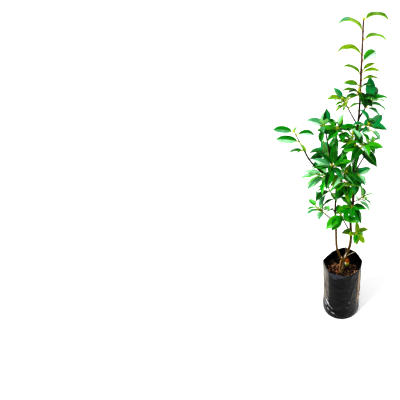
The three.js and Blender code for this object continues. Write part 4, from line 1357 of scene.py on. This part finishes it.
# Slack folds: long ones down both sides, short ones at the foot and below the rim in front.
SLACK_FOLDS = (
    (196, 130, 88, 80, 5, -1.9), (206, 128, 92, 85, 4, 1.7), (214, 140, 91, 80, 3.4, -2.0),
    (246, 36, -40, 24, 2.4, -1.8), (334, 70, 96, 30, 2.4, -1.6), (345, 120, 90, 90, 4.5, -1.6),
    (352, 125, 88, 80, 4, 1.4), (300, 214, 60, 24, 4, 1.1), (250, 226, 20, 16, 4, 1.2),
    (262, 218, -25, 18, 4, -1.2))
# Sharp folds whose crests carry thin streaks: pale painted highlights at the foot on the left, and tan ones
# up the right side.
CREST_STREAK_FOLDS = (
    (212, 84, -42, 20, 2.4, 2.0), (220, 74, -36, 26, 2.4, 2.4), (229, 66, -40, 28, 2.2, 2.6),
    (238, 50, -38, 28, 2.2, 2.2), (219, 42, -32, 22, 2.2, 2.4), (232, 34, -28, 22, 2.4, 2.6),
    (250, 26, -22, 20, 2.2, 2.0), (226, 88, -46, 18, 2.2, 1.8),
    (322, 150, 104, 40, 2.2, 1.6), (312, 164, 112, 36, 2.2, 1.5), (330, 120, 98, 34, 2.2, 1.5))
CREASE_BEND = 0.048
TAN_STREAKS_FROM = 8
STREAKS_PER_FOLD = 4


def polygon_radius(angle):
    """Distance from the middle to the straight-sided rim through the corners."""
    corners = np.radians(np.array(RIM_CORNERS + (RIM_CORNERS[0] + 360,)))
    angle = corners[0] + (angle - corners[0]) % (2 * math.pi)
    radius = np.full(angle.shape, float(BAG_RADIUS))
    for low, high in zip(corners, corners[1:]):
        here = (angle >= low) & (angle <= high)
        half = (high - low) / 2
        chord = BAG_RADIUS * CORNER_OUT * math.cos(half) / np.cos(angle - (low + high) / 2)
        radius = np.where(here, chord, radius)
    return radius


def degrees_from(angle, middle):
    """How many degrees round the bag an angle lies from a middle, from -180 to 180."""
    return (np.degrees(angle) - middle + 180) % 360 - 180


def creases():
    """The small creases at the foot and up the wall, and the folds."""
    draws = Draws(CREASES_SEED)
    rows = []
    for _ in range(FOOT_CREASES):
        slant = draws.between(-75, -15) if draws.draw() < 0.6 else draws.between(20, 80)
        middle, level, *sizes = [draws.between(*ends) for ends in FOOT_RANGES]
        rows.append([middle, level, slant, *sizes])
    for _ in range(WALL_CREASES):
        rows.append([draws.between(*ends) for ends in WALL_RANGES])
    return [*rows, *SLACK_FOLDS, *CREST_STREAK_FOLDS]


CREASES = creases()


def film_radius(angle, z):
    """Outer radius of the crumpled film."""
    height = z / BAG_HEIGHT
    radius = BAG_RADIUS + FOOT_BULGE * np.exp(-(((z - FOOT_BULGE_HEIGHT) / 20) ** 2))
    radius = radius - WAIST * np.sin(math.pi * height)
    radius = radius + FOLD_DEPTH * height * np.cos(BAG_FOLDS * angle + 0.5) + OVAL * np.cos(2 * angle + 0.8)
    share = CORNER_SHARE * np.exp(-np.maximum(BAG_HEIGHT - z, 0) / CORNER_REACH)
    radius = radius * (1 - share) + polygon_radius(angle) * share
    for middle, level, slant, half_length, half_width, tall in CREASES:
        x, y = np.radians(degrees_from(angle, middle)) * BAG_RADIUS, z - level
        c, s = math.cos(math.radians(slant)), math.sin(math.radians(slant))
        along, aside = x * c + y * s, y * c - x * s
        bend = aside + CREASE_BEND * along * along / half_length
        ridge = np.clip(1 - np.abs(bend) / half_width, 0, 1) ** 1.4
        radius = radius + tall * ridge * np.clip(1 - (along / half_length) ** 2, 0, 1)
    flat = on_round(angle, BAG_RADIUS, z).reshape(-1, 3)
    slack = 0.55 * noise(flat, 19, 5) + 0.32 * noise(flat, 8, 6) + 0.12 * noise(flat, 3.2, 7)
    radius = radius + slack.reshape(z.shape)
    foot = BAG_FOOT_RADIUS + 2.5 + 7.0 * np.sqrt(np.clip(z / 10, 0, 1))
    return np.minimum(radius, foot)


def rim_height(angle):
    """Height of the film's ragged edge round the bag."""
    ragged = 0.5 * np.sin(17 * angle) + 0.35 * np.sin(41 * angle + 2)
    middle, depth, width = RIM_SAG
    sag = depth * np.exp(-(degrees_from(angle, middle) / width) ** 2)
    return BAG_HEIGHT + RIM_RISE * (np.sin(angle) + 0.4 * np.cos(3 * angle + 0.6)) + ragged - sag


def make_film():
    """Black polythene, dusty at the foot, with painted reflections down the folds at both sides: a pale grey
    band on the left and golden streaks on the right.
    """
    shader = Shader("bag_film", "#050507", 0.3, specular=0.13)
    spread, times = shader.spread, shader.times
    grime = shader.grain(16, detail=5)
    fine = shader.grain(2.2, detail=4)
    upright_streaks = shader.grain(3.2, detail=5, scale=(1, 1, 0.12), rough=0.65)
    x, y, z = (shader.axis(name) for name in "XYZ")
    # Masks of the painted reflections: a band down the left side of the wall, and a strip at its right edge
    # in front.
    wall = times(spread(z, 0, 1, 0.045, 0.075), spread(z, 1, 0, 0.205, 0.225))
    left = times(spread(x, 1, 0, -0.056, -0.042), times(wall, spread(y, 1, 0, -0.004, 0.016)))
    right = times(spread(x, 0, 1, 0.0545, 0.056), spread(x, 1, 0, 0.0612, 0.0622))
    front_reflection_streaks = times(spread(y, 1, 0, -0.02, -0.008), spread(upright_streaks, 0, 1, 0.36, 0.46))
    # The golden painted reflection for the right edge.
    golden_reflection = shader.ramp(upright_streaks, (0.38, "#442a06"), (0.5, "#94681c"), (0.62, "#b89458"))
    colour = shader.mix(spread(fine, 0, 0.1, 0.55, 0.8), "#050507", "#242220")
    # The pale grey band on the left is a painted reflection.
    colour = shader.mix(times(left, spread(upright_streaks, 0.1, 1.0, 0.42, 0.58)), colour, "#7d7468")
    colour = shader.mix(times(times(right, wall), front_reflection_streaks), colour, golden_reflection)
    foot = times(spread(z, 0.3, 0, 0.004, 0.07), spread(grime, 0, 1, 0.54, 0.7))
    shader.colour(shader.mix(foot, colour, "#6b665d"))
    shader.roughness(spread(grime, 0.16, 0.3, 0.35, 0.7))
    shader.bump(shader.cells(15, scale=(1, 1, 0.55)), 2.0, 0.3)
    return shader.material


def make_bag():
    """The film as one thin shell: outside, over the rim, inside and the flat underside."""
    share = np.linspace(0, 1, BAG_ROWS)[:, None] ** 1.08
    angle = np.broadcast_to(turns(BAG_AROUND), (BAG_ROWS, BAG_AROUND))
    z = share * rim_height(angle)
    outer = film_radius(angle, z)
    outside = on_round(angle, outer, z)
    inside = on_round(angle, outer - FILM, np.maximum(z, FILM) - 0.15 * share)[::-1]
    inside = inside[np.round(np.linspace(0, BAG_ROWS - 1, INNER_ROWS)).astype(int)]
    sheaf = Sheaf()
    sheaf.add(
        np.concatenate([outside.reshape(-1, 3), inside.reshape(-1, 3), [(0, 0, 0)], [(0, 0, FILM)]]),
        capped_faces(BAG_ROWS + INNER_ROWS, BAG_AROUND))
    piece = sheaf.make("grow_bag_film", [make_film()])
    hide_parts("grow_bag")


def make_crest_streaks():
    """Thin streaks along the crests of the sharp folds: pale ones at the foot on the left, which are painted
    highlights, and tan ones up the right side.
    """
    sheaf = Sheaf()
    draws = Draws(CREST_STREAKS_SEED)
    share = np.linspace(-1, 1, 14)
    for number, (middle, level, slant, half_length, _, _) in enumerate(CREST_STREAK_FOLDS):
        c, s = math.cos(math.radians(slant)), math.sin(math.radians(slant))
        for _ in range(STREAKS_PER_FOLD):
            along = half_length * (draws.between(-0.8, 0.7) + share * draws.between(0.12, 0.4))
            crest = draws.between(-1.2, 1.2) - CREASE_BEND * along**2 / half_length
            half = draws.between(0.15, 0.6) * np.sqrt(1 - share**2 * 0.98) * (1 + 0.3 * np.sin(9 * share))
            aside = np.stack([crest - half, crest, crest + half], 1)
            x = along[:, None] * c - aside * s
            angle = math.radians(middle) + x / BAG_RADIUS
            z = np.maximum(level + along[:, None] * s + aside * c, 2)
            radius = film_radius(angle, z) + (0.15, 0.4, 0.15)
            paint = 1 if number >= TAN_STREAKS_FROM else 0
            sheaf.add(on_round(angle, radius, z), grid_faces(len(share), 3), paint)
    # The pale crest streaks are painted highlights.
    pale = grit("crest_highlight", "#aeb0ba", "#8c8e9a", "#eef0f6", 0.4, 0.3, 1.5)
    tan = grit("crest_tan", "#5c5238", "#3c3626", "#7c6c48", 0.5, 0.2, 1.5)
    piece = sheaf.make("film_crest_streaks", [pale, tan])


# A fold of the rim turned down at the front: the angles of its ends, its depth, how far its hem stands off,
# the share of its width where it is deepest, and its thickness.
FLAP_ENDS = (-138, -74)
FLAP_DEPTH = 21
FLAP_STANDS = 5.5
FLAP_DEEPEST = 0.36
FLAP_FILM = 0.35


def make_flap():
    """The turned-down fold: the film's outer and inner sides."""
    columns, rows = 60, 12
    angle = np.radians(np.linspace(*FLAP_ENDS, columns))
    share = np.linspace(0, 1, columns)
    depth = FLAP_DEPTH * np.minimum(share / FLAP_DEEPEST, (1 - share) / (1 - FLAP_DEEPEST)) ** 0.8
    down = np.linspace(0, 1, rows)[:, None]
    z = rim_height(angle) + 0.3 - down * depth[None]
    turn = np.broadcast_to(angle, z.shape)
    wrinkles = 0.5 * np.sin(share * 31) + 0.4 * np.sin(share * 57 + 1)
    radius = film_radius(turn, z) + 0.5 + down ** 1.4 * (FLAP_STANDS + wrinkles) * (depth / FLAP_DEPTH)
    radius = radius - 0.5 * (down == 0)
    faces = grid_faces(rows, columns)
    sheaf = Sheaf()
    sheaf.add(on_round(turn, radius, z), faces[:, ::-1])
    sheaf.add(on_round(turn, radius - FLAP_FILM, z), faces)
    # The fold's bluish colour is a painted sheen, the sky reflected on the black film.
    sheen = Shader("flap_film_sheen", "#0c1420", 0.28, specular=0.5)
    sheen.roughness(sheen.spread(sheen.grain(6), 0.2, 0.4))
    sheen.bump(sheen.grain(4, detail=4), 0.8, 0.4)
    piece = sheaf.make("rim_fold", [sheen.material])


# Drain holes: degrees round the bag, and how many stand there one above the other, at these heights.
HOLES = ((2, 2), (38, 2), (66, 1), (112, 2), (145, 1), (199, 2), (214, 2), (292, 2), (320, 1))
HOLE_LEVELS = (62, 88)
HOLE_RADIUS = 2.6
HOLE_CORNERS = 14


def add_hole(sheaf, draws, degrees, level):
    """A dark hole in the film with a torn lip that stands out unevenly."""
    angle = math.radians(degrees + draws.between(-4, 4))
    z = level + draws.between(-6, 6)
    surface = float(film_radius(np.array([angle]), np.array([z]))[0])
    out, side = on_round(angle, 1, 0), on_round(angle + math.pi / 2, 1, 0)
    centre = out * surface + UP * z
    turn = turns(HOLE_CORNERS)
    ring = side * np.cos(turn)[:, None] + UP * np.sin(turn)[:, None]
    sag = (1 - np.cos(np.cos(turn) * HOLE_RADIUS / BAG_RADIUS)) * BAG_RADIUS
    lip = np.array([draws.between(0.5, 3.4) if draws.draw() < 0.6 else 0.4 for _ in turn])
    # From the film outwards, over the lip and into the hole: each ring's size, and how far it stands out.
    rows = ((1.25, -0.5 - sag), (1, 0.25), (1.3, lip), (1.12, lip * 0.92), (0.86, 0.15))
    points = [
        centre + ring * (HOLE_RADIUS * size) + out * np.reshape(stands, (-1, 1)) for size, stands in rows]
    wall = grid_faces(len(rows), HOLE_CORNERS, closed=True)
    bottom = fan_faces(len(rows) * HOLE_CORNERS, (len(rows) - 1) * HOLE_CORNERS + np.arange(HOLE_CORNERS))
    paints = np.repeat([0, 1, 0, 2], np.array([1, 2, 1, 1]) * HOLE_CORNERS)
    sheaf.add(np.concatenate([*points, [centre + out * 0.1]]), np.concatenate([wall, bottom]), paints)


def make_drain_holes():
    """The holes' torn lips, the dark inside them and the film's edge."""
    sheaf = Sheaf()
    draws = Draws(HOLES_SEED)
    for degrees, count in HOLES:
        for level in HOLE_LEVELS[:count]:
            add_hole(sheaf, draws, degrees, level)
    torn = Shader("torn_film", "#7d7b76", 0.4)
    torn.colour(torn.ramp(torn.grain(1.5), (0.35, "#3a3937"), (0.65, "#b9b6ae")))
    shade = Shader("film_edge", "#141416", 0.35)
    shade.roughness(shade.spread(shade.grain(2), 0.3, 0.5))
    dark = Shader("hole_dark", "#0b0907", 0.95)
    dark.colour(dark.ramp(dark.grain(1.2), (0.4, "#060504"), (0.7, "#2a2118")))
    piece = sheaf.make("drain_hole_lips", [shade.material, torn.material, dark.material])


# ---------------------------------------------------------------- the potting mix

SOIL_AROUND = 200
SOIL_RINGS = 62
SOIL_DEPTH = 12
CRUMBS = 1000
CHIPS = 110
FIBRES = 80
CLEAR_OF_TRUNK = 9
PAD_SLOPE = 48
# Behind this line the mix is painted dark, a painted shade, and its crumbs are all dark peat.
SHADED_FROM = 8
# How far the mix sinks and rises along the bag's wall.
EDGE_SWING = 1.5


def edge_level(angle, share=1):
    """Height of the mix at the wall, or at a share of the way there, without the pad and the lumps."""
    return SOIL_LEVEL - EDGE_SWING + EDGE_SWING * np.cos(2 * angle - 0.6) * share


def soil_height(x, y):
    """Height of the mix: level round the trunk's foot, falling to the bag's wall, and lumpy all over."""
    x, y = np.asarray(x, float), np.asarray(y, float)
    foot_x, foot_y, foot_z = TRUNK_LINE[0]
    from_foot = np.hypot(x - foot_x, y - foot_y)
    edge = edge_level(np.arctan2(y, x), np.hypot(x, y) / BAG_RADIUS)
    rise = np.clip(1 - (from_foot - SOIL_PAD) / PAD_SLOPE, 0, 1)
    rise = rise * rise * (3 - 2 * rise)
    flat = np.stack([x.ravel(), y.ravel(), np.zeros(x.size)], 1)
    lumps = 1.7 * noise(flat, 11, 1) + 1.1 * noise(flat, 5, 2) + 0.8 * noise(flat, 2.4, 3)
    lumps = lumps + 0.35 * noise(flat, 1.1, 4)
    return edge + (foot_z - GAP - edge) * rise + lumps.reshape(x.shape)


def soil_normal(x, y):
    """The way up from the mix."""
    step = 1.5
    dx = float(soil_height(x + step, y) - soil_height(x - step, y)) / (2 * step)
    dy = float(soil_height(x, y + step) - soil_height(x, y - step)) / (2 * step)
    return unit(np.array((-dx, -dy, 1.0)))


def make_soil():
    """The top of the mix, with a skirt down inside the wall."""
    turn = turns(SOIL_AROUND)
    share = np.linspace(0.02, 1, SOIL_RINGS)[::-1, None]
    radius = share * (film_radius(turn, edge_level(turn)) - FILM - 0.2)
    x, y = radius * np.cos(turn), radius * np.sin(turn)
    top = np.stack([x, y, soil_height(x, y)], -1)
    sheaf = Sheaf()
    sheaf.add(
        np.concatenate([
            top[0] - UP * SOIL_DEPTH, top.reshape(-1, 3), [UP * (top[..., 2].min() - SOIL_DEPTH)],
            [UP * soil_height(0.0, 0.0)]]),
        capped_faces(SOIL_RINGS + 1, SOIL_AROUND))
    shader = Shader("potting_mix", "#2a1e12", 0.95, specular=0.15)
    lumps = shader.grain(2.6, detail=6, rough=0.7)
    colour = shader.ramp(lumps, (0.38, "#030202"), (0.56, "#0b0705"), (0.68, "#1a100a"), (0.8, "#4c3222"))
    # Towards the back the mix is painted near black: painted shade.
    shader.colour(shader.mix(shader.spread(shader.axis("Y"), 0, 1, -0.005, 0.02), colour, "#050303"))
    shader.roughness(shader.spread(lumps, 0.82, 1.0))
    shader.bump(shader.grain(1.1, detail=5, rough=0.7), 0.9, 0.9)
    piece = sheaf.make("potting_mix_top", [shader.material])
    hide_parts("potting_mix")


def on_soil(x, y):
    return np.array((x, y, float(soil_height(x, y))))


def place_on_soil(draws, edge=0.93):
    """A place on the mix that is clear of the trunk, and the way up there."""
    while True:
        angle = draws.between(0, 2 * math.pi)
        radius = math.sqrt(draws.draw()) * BAG_RADIUS * edge
        x, y = radius * math.cos(angle), radius * math.sin(angle)
        if math.hypot(x - TRUNK_LINE[0][0], y - TRUNK_LINE[0][1]) > CLEAR_OF_TRUNK:
            return on_soil(x, y), soil_normal(x, y)


def ball_corners():
    """The twelve corners of a ball of radius 1 with twenty equal faces."""
    golden = (1 + math.sqrt(5)) / 2
    corners = [
        place for a in (-1, 1) for b in (-golden, golden) for place in ((0, a, b), (a, b, 0), (b, 0, a))]
    return np.array(corners, float) / math.hypot(1, golden)


def ball_faces(corners):
    """The ball's faces: every three corners that are neighbours, facing out."""
    faces = []
    for i, j, k in itertools.combinations(range(len(corners)), 3):
        a, b, c = corners[[i, j, k]]
        if max(np.linalg.norm((a - b, b - c, c - a), axis=1)) < NEIGHBOURS:
            facing_out = np.cross(b - a, c - a) @ (a + b + c) > 0
            faces.append((i, j, k, k) if facing_out else (i, k, j, j))
    return np.array(faces)


# Neighbouring corners of the ball lie 1.05 apart, and the next nearest 1.7.
NEIGHBOURS = 1.2
BALL = ball_corners()
BALL_FACES = ball_faces(BALL)


def lump(draws, size, squash):
    """A small broken lump: the ball with its corners moved in and out."""
    rough = np.array([draws.between(0.65, 1.25) for _ in BALL])
    scale = np.array([draws.between(0.7, 1.3), draws.between(0.7, 1.3), squash])
    return BALL * rough[:, None] * size * scale


def spun(points, up, degrees):
    """Points turned about Z, then tilted so that Z becomes the given way up."""
    side = unit(np.cross(up, (0.31, 0.95, 0.05)))
    ahead = np.cross(up, side)
    turn = math.radians(degrees)
    first = side * math.cos(turn) + ahead * math.sin(turn)
    second = np.cross(up, first)
    return points[:, :1] * first + points[:, 1:2] * second + points[:, 2:] * up


PEAT, LOAM, RED, TAN, PINK = range(5)
GRIT_PAINTS = (
    ("peat_crumb", "#120c08", "#080504", "#160e09", 0.95, 0.15, 1.5),
    ("loam_crumb", "#3a2717", "#150d08", "#2c1c12", 0.95, 0.15, 1.5),
    ("red_chip", "#6b3d28", "#5c3024", "#a06c5a", 0.85),
    ("tan_chip", "#a67a54", "#8f6442", "#c79c74", 0.8),
    ("pale_chip", "#d3a488", "#d8a48e", "#fadccc", 0.8))
FIBRE_STEP = 2.4


def add_crumb(sheaf, draws):
    """A crumb half sunk in the mix: dark peat at the back, where the mix is painted in shade, and of mixed
    kinds in front.
    """
    place, up = place_on_soil(draws)
    size = draws.between(0.5, 1.1) ** 2 * 2.0
    points = spun(lump(draws, size, draws.between(0.5, 1.0)), up, draws.between(0, 360))
    share = draws.draw()
    if share < 0.6 or place[1] > SHADED_FROM:
        paint = PEAT
    else:
        paint = LOAM if share < 0.86 else RED if share < 0.96 else TAN
    sheaf.add(points + place + up * size * 0.25, BALL_FACES, paint, flat=True)


def add_chip(sheaf, draws, number):
    """A flat chip of bark. One in three lies against the wall at the front right, where they are paler, one
    at the left, where they are redder, and one anywhere in the light."""
    place, up = place_on_soil(draws)
    if number % 3 == 0:
        angle = math.radians(draws.between(-74, -14))
        radius = BAG_RADIUS * draws.between(0.74, 0.92)
        place = on_soil(radius * math.cos(angle), radius * math.sin(angle))
        paint = TAN if draws.draw() < 0.4 else PINK
    elif number % 3 == 1:
        place = on_soil(draws.between(-50, -16), draws.between(-34, 16))
        paint = RED if draws.draw() < 0.65 else TAN
    elif place[1] > SHADED_FROM or place[0] > 12:
        return
    else:
        paint = RED if draws.draw() < 0.6 else TAN
    length = draws.between(2.2, 6.0)
    points = lump(draws, 1.0, 1.0) * np.array((length, length * draws.between(0.3, 0.6), 0.7))
    tilt = unit(up + 0.5 * np.array((draws.between(-1, 1), draws.between(-1, 1), 0)))
    sheaf.add(spun(points, tilt, draws.between(0, 360)) + place + up * 0.9, BALL_FACES, paint, flat=True)


def add_fibre(sheaf, draws):
    """A thin dry fibre that winds over the mix."""
    place, _ = place_on_soil(draws, edge=0.8)
    x, y = place[:2]
    way = draws.between(0, 360)
    turning = draws.between(-14, 14)
    line = []
    for step in range(int(draws.between(5, 12))):
        line.append(on_soil(x, y) + UP * (0.8 + 1.4 * math.sin(step * 0.6)))
        way += turning + draws.between(-12, 12)
        x += FIBRE_STEP * math.cos(math.radians(way))
        y += FIBRE_STEP * math.sin(math.radians(way))
        if math.hypot(x, y) > BAG_RADIUS * 0.93:
            break
    if len(line) > 3:
        radii = np.full(len(line), draws.between(0.18, 0.36))
        radii[-1] *= 0.5
        tube(sheaf, line, radii, 5, 0 if draws.draw() < 0.6 else 1)


def make_crumbs():
    """Crumbs of peat, flat chips of bark and thin dry fibres that lie on the mix."""
    crumbs, fibres = Sheaf(), Sheaf()
    draws = Draws(MIX_SEED)
    for _ in range(CRUMBS):
        add_crumb(crumbs, draws)
    for number in range(CHIPS):
        add_chip(crumbs, draws, number)
    for _ in range(FIBRES):
        add_fibre(fibres, draws)
    piece = crumbs.make("crumbs_and_chips", [grit(*row) for row in GRIT_PAINTS])
    tan = stalk("fibre_tan", "#9c7a4e", "#7d5c36", 0.8)
    red = stalk("fibre_red", "#6e4630", "#55321f", 0.8)
    piece = fibres.make("fibres", [tan, red])


# A fallen leaf, orange at its stalk and green at its tip, leans behind the foot of the trunk. The near-white
# patch on one half of its middle is a painted highlight.
FALLEN_ROOT = (18.5, 16.5, 236)
FALLEN_WAY = (-0.2, -0.67, -0.71)
FALLEN_LENGTH = 30
FALLEN_WIDTH = 14


def make_fallen_leaf():
    sheaf = Sheaf()
    stations = 40
    face = np.array((-0.2, -0.7, 0.68))
    leaf = Leaf(np.array(FALLEN_ROOT), np.array(FALLEN_WAY), face, FALLEN_LENGTH, FALLEN_WIDTH, 4, 35, 20, 0)
    rows = np.arange(stations - 1) / (stations - 1)
    paint = np.digitize(rows, (0.42, 0.66))
    paint = np.repeat(paint[:, None], len(ACROSS) - 1, 1)
    # Paint 3, near white, is the painted highlight.
    paint[(rows > 0.46) & (rows < 0.68), RIB_COLUMN:] = 3
    add_blade(sheaf, leaf, paint, Draws(FALLEN_SEED), stations, 1, 1)
    add_petiole(sheaf, leaf)
    orange = leaf_top("fallen_orange", "#e0680c", "#a84408", 0.45)
    yellow = leaf_top("fallen_yellow", "#e8d81c", "#f0c010", 0.4)
    green = leaf_top("fallen_green", "#6cc404", "#94d41c", 0.35)
    highlight_patch = leaf_top("fallen_highlight", "#f6f2c0", "#fffbe4", 0.4)
    piece = sheaf.make("fallen_leaf", [orange, yellow, green, highlight_patch])


# ---------------------------------------------------------------- floor and light

FLOOR_SIDE = 40.0


def make_floor():
    mesh = bpy.data.meshes.new("floor")
    corners = [(x * FLOOR_SIDE / 2, y * FLOOR_SIDE / 2, 0) for x, y in ((-1, -1), (1, -1), (1, 1), (-1, 1))]
    mesh.from_pydata(corners, [], [(0, 1, 2, 3)])
    floor = bpy.data.objects.new("floor", mesh)
    bpy.context.scene.collection.objects.link(floor)
    shader = Shader("floor", "#f6f6f6", 0.9, specular=0.1)
    mesh.materials.append(shader.material)
    floor.location.z = -0.0002


ROOM_LIGHT = 0.5
LAMPS_AWAY = 4
# Soft lamps: the degrees that each stands round and above the object, its strength, spread and colour.
LAMPS = {
    "key": (-138, 48, 2.65, 12, (1.0, 0.985, 0.95)),
    "fill": (-20, 35, 0.35, 40, (0.95, 0.975, 1.0)),
    "back": (75, 55, 0.85, 40, (1.0, 1.0, 1.0)),
}


def lamp(name, azimuth, rise, strength, spread, colour):
    data = bpy.data.lights.new(name, "SUN")
    data.energy = strength
    data.angle = math.radians(spread)
    data.color = colour
    light = bpy.data.objects.new(name, data)
    place = Vector(heading(azimuth, rise)) * LAMPS_AWAY
    light.location = place
    light.rotation_euler = (-place).to_track_quat("-Z", "Y").to_euler()
    bpy.context.scene.collection.objects.link(light)


def make_light():
    world = bpy.data.worlds.new("studio")
    world.use_nodes = True
    lit = world.node_tree.nodes["Background"]
    lit.inputs["Color"].default_value = (1.0, 1.0, 1.0, 1.0)
    lit.inputs["Strength"].default_value = ROOM_LIGHT
    bpy.context.scene.world = world
    for name, (azimuth, rise, strength, spread, colour) in LAMPS.items():
        lamp(name, azimuth, rise, strength, spread, colour)
    bpy.context.scene.view_settings.view_transform = "Standard"
    bpy.context.scene.view_settings.look = "High Contrast"


# ---------------------------------------------------------------- the object

limbs, shoots, leaves, placed = grow()
make_trunk()
make_limbs(limbs)
make_foliage(limbs, shoots, leaves, placed)
make_bag()
make_crest_streaks()
make_flap()
make_drain_holes()
make_soil()
make_crumbs()
make_fallen_leaf()
make_floor()
make_light()
